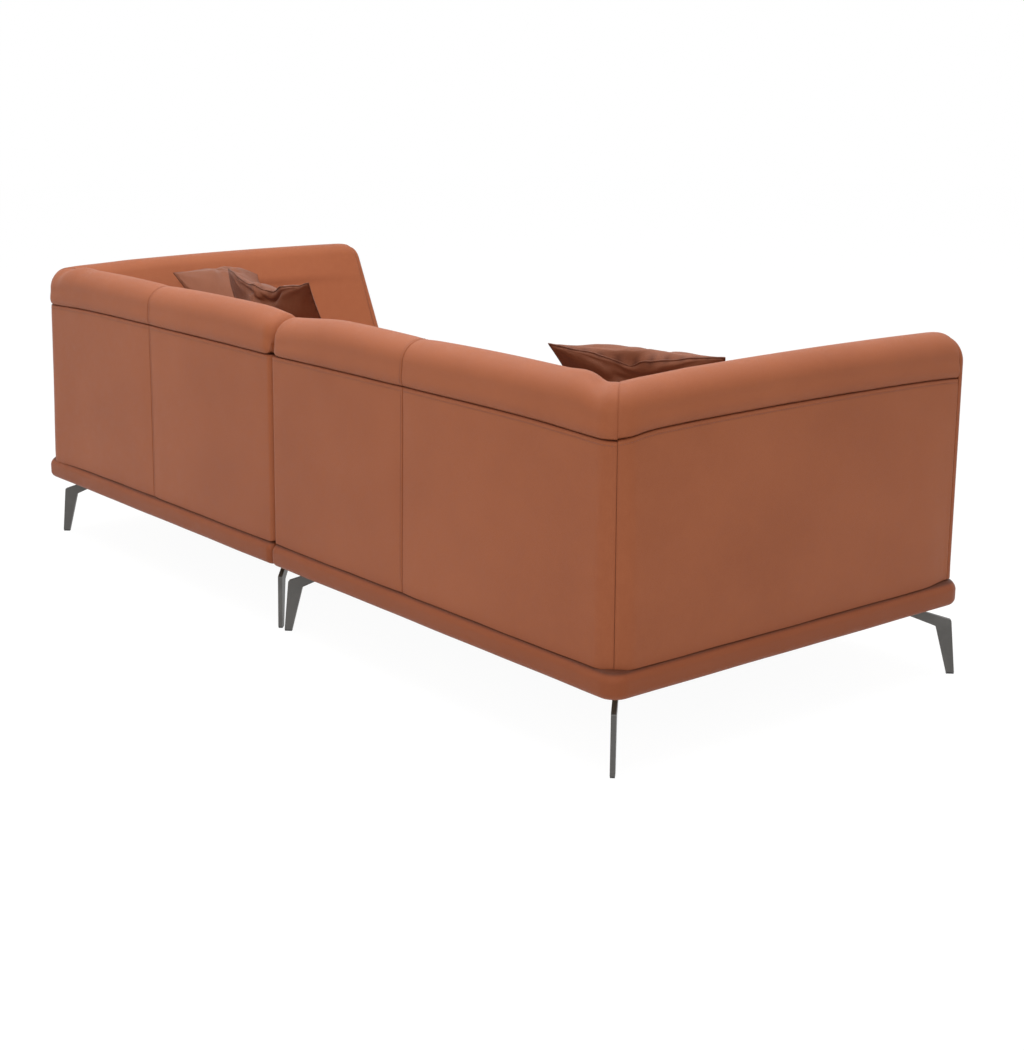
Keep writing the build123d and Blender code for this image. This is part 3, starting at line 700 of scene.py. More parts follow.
# Upholstered base
def base_line():
    """Plan points round the base with their partners on the inner edge."""
    low = joint_gap
    high = module_length + base_overhang
    reach = back_face + base_overhang
    inner_reach = back_face - base_inner
    wide = base_corner_radius
    tight = base_joint_radius
    corners = [
        (high - wide, reach - wide, wide, 90.0, 0.0),
        (high - wide, -reach + wide, wide, 0.0, -90.0),
        (low + tight, -reach + tight, tight, -90.0, -180.0),
        (low + tight, reach - tight, tight, 180.0, 90.0),
    ]
    outer = []
    for cx, cy, radius, first, last in corners:
        for angle in np.radians(np.linspace(first, last, arc_count)):
            outer.append((cx + radius * math.cos(angle), cy + radius * math.sin(angle)))
    dense = []
    for a, b in zip(outer, outer[1:] + outer[:1]):
        count = max(1, int(math.hypot(b[0] - a[0], b[1] - a[1]) / base_step))
        dense += [(a[0] + (b[0] - a[0]) * k / count, a[1] + (b[1] - a[1]) * k / count) for k in range(count)]
    outer = np.array(dense)
    inner = np.stack([
        np.clip(outer[:, 0], base_inner, module_length - base_inner),
        np.clip(outer[:, 1], -inner_reach, inner_reach),
    ], axis=1)
    return outer, inner


def base_mesh():
    """Bullnosed padded band round the foot of a module."""
    outer, inner = base_line()
    gap = inner - outer
    width = np.linalg.norm(gap, axis=1)
    half = (base_top - base_low) / 2.0
    middle = (base_top + base_low) / 2.0
    travel = np.concatenate([[0.0], np.cumsum(np.linalg.norm(np.diff(outer, axis=0), axis=1))])
    covered = (outer[:, 1] > back_face - base_covered) | (outer[:, 0] > module_length - base_covered)
    profile = [(base_depth, half)]
    for angle in np.linspace(math.pi / 2.0, -math.pi / 2.0, 25):
        round_over = base_round_top if angle > 0.0 else base_round_low
        edge = (half - round_over) * (1.0 if angle > 0.0 else -1.0)
        profile.append((round_over * (1.0 - math.cos(angle)), edge + round_over * math.sin(angle)))
    profile.append((base_depth, -half))
    rings = []
    masks = []
    for w, h in profile:
        share = np.minimum(w / width, 1.0)
        place = outer + gap * share[:, None]
        bulge = base_bulge * math.cos(math.pi * h / (2.0 * half + 8.0)) if w < base_bulge_depth else 0.0
        wave = 0.5 * np.sin(travel / 83.0) + 0.35 * np.sin(travel / 37.0 + 1.0)
        place = place - gap / width[:, None] * (bulge + wave * (w < base_wave_depth))[:, None]
        rings.append(np.stack([place[:, 0], place[:, 1], np.full(len(place), middle + h)], axis=1))
        # Painted shade: the whole base is darkened, deepening to near black in the crease under the panels'
        # feet where they cover it
        tucked = min(max((w - base_tuck[0]) / base_tuck[1], 0.0), 1.0) if h > 0.0 else 0.0
        masks.append(base_shade + (crease_shade - base_shade) * tucked ** 2 * covered)
    rows = np.array(rings).transpose(1, 0, 2)
    points = rows.reshape(-1, 3)
    count, columns = rows.shape[0], rows.shape[1]
    faces = grid_faces(count, columns, True) + joining_faces(count, columns)
    points[:, 0] = np.maximum(points[:, 0], joint_gap * 0.5)
    return points, faces, np.array(masks).transpose(1, 0).ravel()


# Stitches as small rounded beads of thread
def stitch_mesh(rows):
    """Rows of stitches, each row as points with outward normals."""
    last = (len(stitch_rings) - 1) * stitch_sides
    bead = grid_faces(len(stitch_rings), stitch_sides, True)
    bead += [tuple(reversed(range(stitch_sides))), tuple(range(last, last + stitch_sides))]
    turns = [2.0 * math.pi * j / stitch_sides for j in range(stitch_sides)]
    verts = []
    faces = []
    for points, normals in rows:
        steps = np.linalg.norm(np.diff(points, axis=0), axis=1)
        run = np.concatenate([[0.0], np.cumsum(steps)])
        for k in range(int(run[-1] / stitch_pitch)):
            here = (k + 0.5) * stitch_pitch
            ends = (here - stitch_length / 2.0, here + stitch_length / 2.0)
            a, b = np.array([[np.interp(d, run, points[:, axis]) for axis in range(3)] for d in ends])
            up = np.array([np.interp(here, run, normals[:, axis]) for axis in range(3)])
            up /= max(np.linalg.norm(up), 1e-9)
            across = np.cross((b - a) / max(np.linalg.norm(b - a), 1e-9), up)
            faces += [tuple(len(verts) + corner for corner in face) for face in bead]
            for share, size, rise in stitch_rings:
                core = a + (b - a) * share + up * (stitch_radius * 0.35 + rise)
                for turn in turns:
                    out = across * math.cos(turn) + up * math.sin(turn)
                    verts.append(core + stitch_radius * size * out)
    return np.array(verts), faces


def panel_row(s, z, panel, on_arm):
    """Points and normals of a stitch row on a panel."""
    skin = bow_welt(panel_surface(s, z, *panel), on_arm)
    nx, ny = skirt_line(s)[2:]
    return skin, np.stack([nx, ny, np.zeros_like(nx)], axis=-1)


def welt_row(panel, start, end, count, on_arm):
    """Stitch row under the welt, between two places along a panel."""
    run = np.linspace(start, end, count)
    return panel_row(run, np.full_like(run, welt_level - welt_stitch), panel, on_arm)


def roll_row(side):
    """Points and normals of the stitch row over the roll, beside the vertical seam."""
    end = seam_from_joint[side] - half_seam
    place = end - seam_stitch
    lift = float(crown((place - joint_gap) / (end - joint_gap)))
    ring = bow_welt(pad_ring(place, lift, float(seam_fall(seam_stitch)), pad_back), False)
    normal = -inward(rest_section(lift, pad_back)[0])
    normals = np.stack([np.zeros(len(normal)), -normal[:, 0], normal[:, 1]], axis=1)
    shown = slice(3, shown_count)
    return ring[shown], normals[shown]


# Cushions and pillows are filled by a cloth simulation
def inflate(piece, pressure, frames, stiffness):
    """Blow a closed cloth up for some frames and return where its points end."""
    scene = bpy.context.scene
    cloth = piece.modifiers.new("filling", "CLOTH")
    settings = cloth.settings
    settings.quality = 6
    settings.mass = 0.25
    settings.tension_stiffness = stiffness
    settings.compression_stiffness = stiffness
    settings.shear_stiffness = stiffness * 0.5
    settings.bending_stiffness = 0.6
    settings.use_pressure = True
    settings.uniform_pressure_force = pressure
    settings.effector_weights.gravity = 0.0
    cloth.collision_settings.use_collision = False
    cloth.point_cache.frame_start = 1
    cloth.point_cache.frame_end = frames
    for f in range(1, frames + 1):
        scene.frame_set(f)
    graph = bpy.context.evaluated_depsgraph_get()
    filled = bpy.data.meshes.new_from_object(piece.evaluated_get(graph))
    points = np.empty(len(filled.vertices) * 3)
    filled.vertices.foreach_get("co", points)
    piece.modifiers.remove(cloth)
    bpy.data.meshes.remove(filled)
    scene.frame_set(1)
    return points.reshape(-1, 3)


def pillow_shell(seed):
    """Closed two-sided sheet of a square pillow before filling, and its rim in order."""
    count = pillow_count
    crowding = 0.82
    line = np.sin(np.linspace(-math.pi / 2.0, math.pi / 2.0, count + 1) * crowding)
    line /= math.sin(math.pi * crowding / 2.0)
    index = {}
    verts = []
    for face, out in ((0, -flat_half), (1, flat_half)):
        for i, a in enumerate(line):
            for j, b in enumerate(line):
                if (i in (0, count) or j in (0, count)) and face == 1:
                    index[1, i, j] = index[0, i, j]
                    continue
                index[face, i, j] = len(verts)
                lens = math.sqrt(max(0.0, (1.0 - a * a) * (1.0 - b * b)))
                fold = 1.0 + 0.16 * math.sin(5.0 * a + 3.1 * b + seed)
                fold += 0.1 * math.sin(9.0 * b - 4.0 * a + 2.0 * seed)
                verts.append((a * pillow_width / 2.0, out * lens * fold, b * pillow_height / 2.0))
    faces = []
    for face in (0, 1):
        for i in range(count):
            for j in range(count):
                corners = ((i, j), (i + 1, j), (i + 1, j + 1), (i, j + 1))
                quad = [index[face, p, q] for p, q in corners]
                faces.append(tuple(quad if face == 0 else reversed(quad)))
    rim = [index[0, i, 0] for i in range(count)] + [index[0, count, j] for j in range(count)]
    rim += [index[0, i, count] for i in range(count, 0, -1)] + [index[0, 0, j] for j in range(count, 0, -1)]
    return np.array(verts), faces, rim


def solid_pillow_half(x, z):
    """Half thickness of the solid pillow at one place of its face."""
    step = np.clip(np.abs(z) / (pillow_height / 2.0), 0.0, 1.0)
    fill = 1.0 - step * step
    half = (pillow_width - pillow_draw_in * fill) / 2.0
    rim = pillow_edge / 2.0
    belly = rim + 1.0 + (pillow_thickness / 2.0 - pillow_edge) * fill ** 0.7
    across = np.clip(np.abs(x) / half, 0.0, 1.0)
    return rim + (belly - rim) * (1.0 - across * across)


def drooped(points, ears):
    """Let the top ears hang: (side of the pillow, outward, forward, down) for each ear."""
    out = points.copy()
    x, _, z = points.T
    upper = np.clip((z + ear_depth) / (ear_depth + pillow_height / 2.0), 0.0, 1.0) ** 2.2
    for hand, outward, forward, down in ears:
        off = (hand * x - ear_start) / (pillow_width / 2.0 - ear_start)
        share = np.clip(off, 0.0, 1.0) ** 1.5 * upper
        out[:, 0] += hand * outward * share
        out[:, 1] -= forward * share
        out[:, 2] -= down * share
    return out


def chopped(points, seed, chop, middle, width, full_front):
    """Press in the top edge: seam and back face sink, the front keeps part of its swelling."""
    out = points.copy()
    x, y, z = points.T
    x = x - middle
    top = pillow_height / 2.0
    below = np.clip(top - z, 0.0, None)
    dent = np.exp(-np.abs(x / width) ** 1.35)
    wave = 1.0 + 0.16 * np.sin(x / 17.0 + seed) + 0.08 * np.sin(x / 8.0 + 2.0 * seed)
    front = np.clip(-y / flat_half, 0.0, 1.0)
    reach = chop_reach - chop_reach_front * full_front * np.clip(-y / 6.0, 0.0, 1.0)
    out[:, 2] -= chop * dent * wave * np.exp(-(below / reach) ** 2) * (1.0 - full_front * front)
    back = np.clip(y / 10.0, 0.0, 1.0)
    out[:, 1] -= back * chop * 0.4 * dent * np.exp(-((below - sunk_at) / sunk_reach) ** 2)
    swell = front * chop * full_front * np.sqrt(dent) * np.exp(-((below - swollen_at) / swollen_reach) ** 2)
    out[:, 1] -= 0.45 * swell
    out[:, 2] += 0.15 * swell
    fold = np.zeros(len(points))
    places = [(0.0, top - chop, *chop_creases)]
    for a in (-1.0, 1.0):
        places += [(a * pillow_width / 2.0 - middle, b * top, *corner_creases) for b in (-1.0, 1.0)]
    for cx, cz, depth, length, count in places:
        away = np.hypot(x - cx, z - cz)
        turn = np.arctan2(z - cz, x - cx)
        fading = np.exp(-away / length) * (1.0 - np.exp(-(away / crease_start) ** 2))
        fold += depth * np.sin(count * turn + seed) * fading
    out[:, 1] += np.sign(y) * fold * np.clip(np.abs(y) / skin_depth, 0.0, 1.0)
    return out


def ridged(points, ridge):
    """Raise a soft ridge on the back face, from the chop towards one side."""
    if ridge == 0.0:
        return points
    out = points.copy()
    x, y, z = points.T
    below = pillow_height / 2.0 - z
    off = (below - ridge_depth - ridge_slope * x) / ridge_reach
    beside = np.clip((x + ridge_start) / ridge_fade, 0.0, 1.0)
    out[:, 1] += np.clip(y / skin_depth, 0.0, 1.0) * ridge * np.exp(-off ** 2) * beside
    return out


def squared(points, flat, rim, edges):
    """Bring the rim of a filled pillow to the solid's outline; the faces follow evenly."""
    goal = flat[rim].copy()
    across = 1.0 - (goal[:, 2] / (pillow_height / 2.0)) ** 2
    along = 1.0 - (goal[:, 0] / (pillow_width / 2.0)) ** 2
    draw = np.where(goal[:, 2] > 0.0, top_draw_in, 0.0) * along
    goal[:, 0] *= 1.0 - (piping_radius + pillow_draw_in / 2.0 * across) / (pillow_width / 2.0)
    goal[:, 2] *= 1.0 - (piping_radius + draw) / (pillow_height / 2.0)
    waves = points[rim, 1]
    goal[:, 1] = 0.3 * sum(np.roll(waves, k) for k in range(-2, 3)) / 5.0
    moves = np.zeros_like(points)
    count = np.bincount(edges.ravel(), minlength=len(points))
    for _ in range(500):
        moves[rim] = goal - points[rim]
        for axis in range(3):
            total = np.bincount(edges[:, 0], moves[edges[:, 1], axis], len(points))
            total += np.bincount(edges[:, 1], moves[edges[:, 0], axis], len(points))
            moves[:, axis] = total / count
    moves[rim] = goal - points[rim]
    return points + moves


def filled_pillow(name, seed, chop, middle, width, full_front, ridge, ears):
    """Pillow filled by simulation, brought to its real size, with the top edge pressed in."""
    verts, faces, rim = pillow_shell(seed)
    mesh = bpy.data.meshes.new(name)
    mesh.from_pydata((verts * mm).tolist(), [], faces)
    piece = bpy.data.objects.new(name, mesh)
    bpy.context.collection.objects.link(piece)
    points = inflate(piece, *pillow_filling) / mm
    points -= points.mean(axis=0)
    edges = np.empty(2 * len(mesh.edges), dtype=np.int32)
    mesh.edges.foreach_get("vertices", edges)
    points = squared(points, verts, rim, edges.reshape(-1, 2))
    points[:, 1] *= pillow_thickness / (points[:, 1].max() - points[:, 1].min())
    limit = solid_pillow_half(points[:, 0], points[:, 2]) + 1.0
    front_count = len(points) - (len(points) - len(rim)) // 2
    face = np.where(np.arange(len(points)) < front_count, -1.0, 1.0)
    thick = np.clip(face * points[:, 1], least_fill * limit, limit)
    thick[rim] = np.clip(points[rim, 1], -limit[rim], limit[rim]) * face[rim]
    points[:, 1] = face * thick
    points = chopped(points, seed, chop, middle, width, full_front)
    return piece, drooped(ridged(points, ridge), ears), rim


def tube(path, radius, around):
    """Round cord along a closed line of points, as points and faces."""
    count = len(path)
    run = np.roll(path, -1, axis=0) - np.roll(path, 1, axis=0)
    run /= np.maximum(np.linalg.norm(run, axis=1, keepdims=True), 1e-9)
    verts = []
    for p, d in zip(path, run):
        side = np.cross(d, (0.0, 1.0, 0.13))
        side /= max(np.linalg.norm(side), 1e-9)
        up = np.cross(side, d)
        for k in range(around):
            angle = 2.0 * math.pi * k / around
            verts.append(p + radius * (side * math.cos(angle) + up * math.sin(angle)))
    return np.array(verts), grid_faces(count, around, True) + joining_faces(count, around)


def stand_pillow(points, place):
    """Lean, turn and place a pillow's points as its solid stands."""
    middle, turn, lean = place
    a = math.radians(-lean)
    b = math.radians(turn)
    p = np.array(points, dtype=float)
    p[:, 2] -= pillow_height / 2.0
    y = p[:, 1] * math.cos(a) - p[:, 2] * math.sin(a)
    z = p[:, 1] * math.sin(a) + p[:, 2] * math.cos(a)
    x = p[:, 0] * math.cos(b) - y * math.sin(b)
    y = p[:, 0] * math.sin(b) + y * math.cos(b)
    return np.stack([x + middle[0], y + middle[1], z + middle[2]], axis=1)


def build_pillow(name, place, form):
    """One throw pillow with its piped edge."""
    piece, points, rim = filled_pillow(name, **form)
    piece.data.vertices.foreach_set("co", (stand_pillow(points, place) * mm).ravel())
    turn_outward(piece.data)
    piece.data.shade_smooth()
    edge = points[rim]
    near = np.min(np.linalg.norm(points[:, None, :] - edge[None, ::3, :], axis=2), axis=1)
    # Painted shade along the piped rim
    store_mask(piece.data, "seam", painted_shade_mask(near * 0.6))
    piece.data.materials.append(pillow_leather)
    sewn = {frozenset(pair) for pair in zip(rim, rim[1:] + rim[:1])}
    crease = piece.data.attributes.new("crease_edge", "FLOAT", "EDGE")
    crease.data.foreach_set("value", [float(frozenset(e.vertices) in sewn) for e in piece.data.edges])
    make_finer(piece)
    settle(piece, name, [name + "_filled"])
    cord, faces = tube(edge, piping_radius, 8)
    placed = stand_pillow(cord, place)
    add_cord(name + "_piping", placed, faces, pillow_leather, piping_shade, name)


def seat_shape():
    """Starting form of a seat cushion, smaller than its place by a margin."""
    low = joint_gap + seat_margin
    high = seat_far - seat_margin
    front = -back_face + seat_margin
    rear = seat_rear - seat_margin
    top = seat_top - seat_margin
    r = seat_round
    rings = []
    for x in stations(low, high, True, True, seat_step):
        drop = float(edge_round(min(x - low, high - x), r)) * 0.9
        belly = math.sin(math.pi * (x - low) / (high - low))
        inset = drop * 0.35 + seat_waist * belly
        shoulder = top - r - drop
        ring = [(front + inset, z) for z in np.linspace(seat_bottom, shoulder, 7)]
        for angle in np.linspace(math.pi, math.pi / 2.0, 8)[1:]:
            ring.append((front + inset + r + r * math.cos(angle), shoulder + r * math.sin(angle)))
        a = front + inset + r
        b = rear - inset - r
        rise = seat_crown[0] + seat_crown[1] * belly
        for t in np.linspace(0.0, 1.0, 16)[1:-1]:
            ring.append((a + (b - a) * t, shoulder + r + rise * 4.0 * t * (1.0 - t)))
        for angle in np.linspace(math.pi / 2.0, 0.0, 8):
            ring.append((b + r * math.cos(angle), shoulder + r * math.sin(angle)))
        ring += [(rear - inset, z) for z in np.linspace(shoulder, seat_bottom, 7)[1:]]
        ring += [(y, seat_bottom) for y in np.linspace(rear - inset, front + inset, 12)[1:-1]]
        rings.append(np.array([(x, y, z) for y, z in ring]))
    points = np.concatenate(rings)
    return points, capped_faces(points, len(rings[0]))


def keep_in_seat(points):
    """Hold points inside the plan of a seat cushion's place."""
    points[:, 0] = np.clip(points[:, 0], joint_gap, seat_far)
    points[:, 1] = np.clip(points[:, 1], -back_face, seat_rear)
    return points


def filled_seat():
    """Seat cushion of the right module, swollen by simulation inside its place; points and faces."""
    blank = make_piece("seat_blank", *seat_shape(), sofa_leather)
    remesh = blank.modifiers.new("even", "REMESH")
    remesh.mode = "VOXEL"
    remesh.voxel_size = 0.012
    graph = bpy.context.evaluated_depsgraph_get()
    even = bpy.data.meshes.new_from_object(blank.evaluated_get(graph))
    blank.modifiers.remove(remesh)
    blank.data = even
    start = np.empty(len(even.vertices) * 3)
    even.vertices.foreach_get("co", start)
    start = start.reshape(-1, 3)
    end = inflate(blank, *seat_filling)
    move = end - start
    size = np.linalg.norm(move, axis=1, keepdims=True)
    end = start + move * np.minimum(1.0, seat_swell_cap * mm / np.maximum(size, 1e-9))
    points = keep_in_seat(end / mm)
    points[:, 2] = np.clip(points[:, 2], seat_bottom, seat_crest)
    quads = [tuple(p.vertices) for p in even.polygons]
    bpy.data.objects.remove(blank)
    return points, quads


def seat_seam(points, faces, level):
    """Line round a seat cushion at one height, on its skin."""
    tree = BVHTree.FromPolygons([Vector(p) for p in points], faces)
    middle = Vector((*seat_middle, level))
    line = []
    for k in range(seat_seam_count):
        angle = 2.0 * math.pi * k / seat_seam_count
        away = Vector((math.cos(angle) * 1.25, math.sin(angle), 0.0)).normalized()
        hit = tree.ray_cast(middle + away * 1500.0, -away)
        if hit[0] is not None:
            line.append(hit[0] - away * seat_seam_sink)
    return np.array(line)


def build_seat(side, points, faces):
    """Seat cushion of one module with the corded seams of its boxing."""
    hand = sides[side]
    name = side + "_seat_cushion"
    # Painted shade beside the corded seams
    near = np.min([np.abs(points[:, 2] - level) for level in seat_seams.values()], axis=0)
    piece = make_piece(name, mirrored(points, hand), faces, sofa_leather, painted_shade_mask(near * 0.7))
    make_finer(piece)
    settle(piece, name, [side + "_seat_cover", side + "_seat_core"])
    for label, level in seat_seams.items():
        cord, cord_faces = tube(seat_seam(points, faces, level), seat_cord_radius, 7)
        cord = mirrored(keep_in_seat(cord), hand)
        add_cord(name + "_" + label + "_cord", cord, cord_faces, sofa_leather, cord_shade, name)


# Materials
class Graph:
    """Short way to add and link nodes in one tree."""

    def __init__(self, tree):
        self.tree = tree

    def fill(self, node, inputs):
        """Link a socket to each named input, or set its value."""
        for key, value in inputs.items():
            if isinstance(value, bpy.types.NodeSocket):
                self.tree.links.new(value, node.inputs[key])
            else:
                node.inputs[key].default_value = value

    def add(self, kind, inputs=None, **settings):
        node = self.tree.nodes.new(kind)
        for key, value in settings.items():
            setattr(node, key, value)
        self.fill(node, inputs or {})
        return node

    def math(self, operation, a, b=0.0):
        return self.add("ShaderNodeMath", {0: a, 1: b}, operation=operation).outputs[0]

    def ramp(self, value, low, high, out_low=0.0, out_high=1.0):
        inputs = {"Value": value, "From Min": low, "From Max": high, "To Min": out_low, "To Max": out_high}
        return self.add("ShaderNodeMapRange", inputs).outputs["Result"]

    def mix(self, factor, a, b, blend="MIX"):
        inputs = {0: factor, 6: a, 7: b}
        return self.add("ShaderNodeMix", inputs, data_type="RGBA", blend_type=blend).outputs[2]

    def place(self):
        return self.add("ShaderNodeTexCoord").outputs["Object"]

    def noise(self, place, scale, detail, rough=0.5):
        inputs = {"Vector": place, "Scale": scale, "Detail": detail, "Roughness": rough}
        return self.add("ShaderNodeTexNoise", inputs)

    def wave(self, place, scale, direction, distortion=0.0, detail=2.0):
        inputs = {"Vector": place, "Scale": scale, "Distortion": distortion, "Detail": detail}
        return self.add("ShaderNodeTexWave", inputs, bands_direction=direction).outputs["Fac"]

    def bump(self, height, strength, distance):
        inputs = {"Height": height, "Strength": strength, "Distance": distance}
        return self.add("ShaderNodeBump", inputs).outputs["Normal"]


def rgba(colour):
    """Opaque colour."""
    return (*colour, 1.0)


def new_group(name, inputs, outputs):
    """Node group with named sockets; returns the tree, a graph for it, and its ends."""
    tree = bpy.data.node_groups.new(name, "ShaderNodeTree")
    for way, sockets in (("INPUT", inputs), ("OUTPUT", outputs)):
        for label, kind in sockets.items():
            tree.interface.new_socket(label, in_out=way, socket_type="NodeSocket" + kind)
    graph = Graph(tree)
    return tree, graph, graph.add("NodeGroupInput"), graph.add("NodeGroupOutput")


def leather_skin_group():
    """Grain and mottling of leather, and painted shade in its seams and creases, from its three colours."""
    tree, g, source, result = new_group(
        "leather_skin",
        {"Base": "Color", "Deep": "Color", "Pale": "Color", "Grain": "Float"},
        {"Colour": "Color", "Roughness": "Float", "Normal": "Vector"},
    )
    base, deep, pale, grain = (source.outputs[label] for label in ("Base", "Deep", "Pale", "Grain"))
    place = g.place()
    broad = g.noise(place, 3.1, 3.0, 0.55).outputs[0]
    mottle = g.noise(place, 46.0, 5.0, 0.62).outputs[0]
    warp = g.noise(place, 190.0, 2.0).outputs["Color"]
    cells = {"Vector": g.mix(0.004, place, warp, "ADD"), "Scale": grain}
    pebbles = g.add("ShaderNodeTexVoronoi", cells, feature="DISTANCE_TO_EDGE").outputs["Distance"]
    fine = g.noise(place, 900.0, 2.0).outputs[0]
    valley = g.ramp(pebbles, 0.0, 0.16)
    seam = g.add("ShaderNodeAttribute", attribute_name="seam").outputs["Fac"]
    colour = g.mix(g.ramp(broad, 0.3, 0.7, 0.0, 0.34), base, deep)
    colour = g.mix(g.ramp(mottle, 0.42, 0.75, 0.0, 0.22), colour, pale)
    colour = g.mix(g.ramp(valley, 0.0, 1.0, 0.24, 0.0), colour, deep)
    # Painted shade: the seam mask darkens towards the deep colour up to 1, and towards near black from 1 to 2
    colour = g.mix(g.ramp(seam, 0.0, 1.0, 0.0, 0.9), colour, deep)
    shade = g.mix(0.72, deep, (0.01, 0.003, 0.001, 1.0))
    colour = g.mix(g.ramp(seam, 1.0, 2.0), colour, shade)
    rough = g.math("ADD", g.ramp(mottle, 0.3, 0.7, 0.43, 0.55), g.ramp(valley, 0.0, 1.0, 0.1, 0.0))
    relief = g.math("ADD", g.math("MULTIPLY", valley, 0.5), g.math("MULTIPLY", fine, 0.18))
    relief = g.math("ADD", relief, g.math("MULTIPLY", mottle, 0.9))
    g.fill(result, {"Colour": colour, "Roughness": rough, "Normal": g.bump(relief, 0.32, 0.0011)})
    return tree


def empty_nodes(owner):
    """Graph of a material or world with no nodes in it yet."""
    owner.use_nodes = True
    owner.node_tree.nodes.clear()
    return Graph(owner.node_tree)


def new_material(name):
    """Empty node material with its principled shader wired to the output."""
    material = bpy.data.materials.new(name)
    g = empty_nodes(material)
    shader = g.add("ShaderNodeBsdfPrincipled")
    g.add("ShaderNodeOutputMaterial", {"Surface": shader.outputs[0]})
    return material, g, shader


def leather(name, base, deep, pale, grain, sheen):
    """Leather with its grain from the shared group."""
    material, g, shader = new_material(name)
    inputs = {"Base": rgba(base), "Deep": rgba(deep), "Pale": rgba(pale), "Grain": grain}
    skin = g.add("ShaderNodeGroup", inputs, node_tree=skin_tree).outputs
    g.fill(shader, {"Base Color": skin["Colour"], "Roughness": skin["Roughness"], "Normal": skin["Normal"]})
    g.fill(shader, {"Sheen Weight": sheen, "Sheen Roughness": 0.5, "Specular IOR Level": 0.2})
    return material


def thread(name, colour, dark):
    """Sewing thread with its twist."""
    material, g, shader = new_material(name)
    twist = g.wave(g.place(), 420.0, "DIAGONAL", 1.5)
    tint = g.mix(twist, rgba(dark), rgba(colour))
    g.fill(shader, {"Base Color": tint, "Normal": g.bump(twist, 0.5, 0.0003), "Roughness": 0.6})
    return material


def metal(name, colour, worn, metallic, low, high, scale):
    """Coated or bare metal with fine speckle and rubbed patches."""
    material, g, shader = new_material(name)
    place = g.place()
    speckle = g.noise(place, scale, 4.0, 0.7).outputs[0]
    rubbed = g.noise(place, 14.0, 5.0).outputs[0]
    tint = g.mix(g.ramp(rubbed, 0.5, 0.72, 0.0, 0.5), rgba(colour), rgba(worn))
    tint = g.mix(g.ramp(speckle, 0.35, 0.65, 0.0, 0.2), tint, rgba(worn))
    g.fill(shader, {"Base Color": tint, "Roughness": g.ramp(speckle, 0.3, 0.7, low, high)})
    g.fill(shader, {"Normal": g.bump(speckle, 0.12, 0.0002), "Metallic": metallic})
    return material


def timber(name, pale, dark):
    """Planed softwood with long growth rings."""
    material, g, shader = new_material(name)
    long_way = g.add("ShaderNodeMapping", {"Vector": g.place(), "Scale": (2.0, 2.0, 24.0)}).outputs[0]
    rings = g.wave(long_way, 3.0, "Z", 7.0, 3.0)
    pores = g.noise(long_way, 60.0, 4.0).outputs[0]
    tint = g.mix(g.ramp(rings, 0.2, 0.9, 0.0, 0.7), rgba(pale), rgba(dark))
    g.fill(shader, {"Base Color": tint, "Normal": g.bump(pores, 0.2, 0.0005), "Roughness": 0.68})
    return material


def woven(name, colour, dark, scale):
    """Plain woven strap or lining cloth."""
    material, g, shader = new_material(name)
    place = g.place()
    weave = g.math("MULTIPLY", g.wave(place, scale, "X"), g.wave(place, scale, "Y"))
    tint = g.mix(weave, rgba(dark), rgba(colour))
    g.fill(shader, {"Base Color": tint, "Normal": g.bump(weave, 0.5, 0.0006), "Roughness": 0.85})
    return material


def rubber(name, colour, dusty):
    """Hard rubber with dust in its pores."""
    material, g, shader = new_material(name)
    pores = g.noise(g.place(), 500.0, 3.0).outputs[0]
    tint = g.mix(g.ramp(pores, 0.4, 0.7, 0.0, 0.6), rgba(colour), rgba(dusty))
    g.fill(shader, {"Base Color": tint, "Roughness": g.ramp(pores, 0.3, 0.7, 0.55, 0.8)})
    return material


skin_tree = leather_skin_group()
sofa_leather = leather(
    "sofa_leather", (0.318, 0.093, 0.035), (0.190, 0.044, 0.012), (0.37, 0.122, 0.052), 640.0, 0.03
)
pillow_leather = leather(
    "pillow_leather", (0.215, 0.070, 0.032), (0.075, 0.018, 0.006), (0.28, 0.108, 0.058), 520.0, 0.06
)
sofa_thread = thread("sofa_thread", (0.30, 0.105, 0.06), (0.14, 0.045, 0.024))
slot_materials = {
    "leg_metal": metal("leg_metal", (0.088, 0.084, 0.079), (0.14, 0.135, 0.128), 0.55, 0.34, 0.48, 900.0),
    "frame_wood": timber("frame_wood", (0.52, 0.36, 0.20), (0.36, 0.22, 0.11)),
    "webbing": woven("webbing", (0.05, 0.05, 0.055), (0.016, 0.016, 0.018), 180.0),
    "lining": woven("lining", (0.045, 0.043, 0.042), (0.018, 0.017, 0.017), 420.0),
    "screw_steel": metal("screw_steel", (0.42, 0.42, 0.43), (0.56, 0.56, 0.56), 1.0, 0.26, 0.42, 1400.0),
    "bracket_steel": metal("bracket_steel", (0.045, 0.045, 0.046), (0.10, 0.10, 0.10), 0.6, 0.36, 0.5, 700.0),
    "glide_rubber": rubber("glide_rubber", (0.018, 0.018, 0.018), (0.06, 0.058, 0.055)),
    "leather": sofa_leather,
    "pillow_leather": pillow_leather,
    "foam": woven("foam", (0.72, 0.66, 0.50), (0.60, 0.53, 0.38), 260.0),
}

for row in frame["record"]["subparts"]:
    node = frame["nodes"][row["node"]]
    node.data.materials.clear()
    node.data.materials.append(slot_materials[row["material_slot"]])


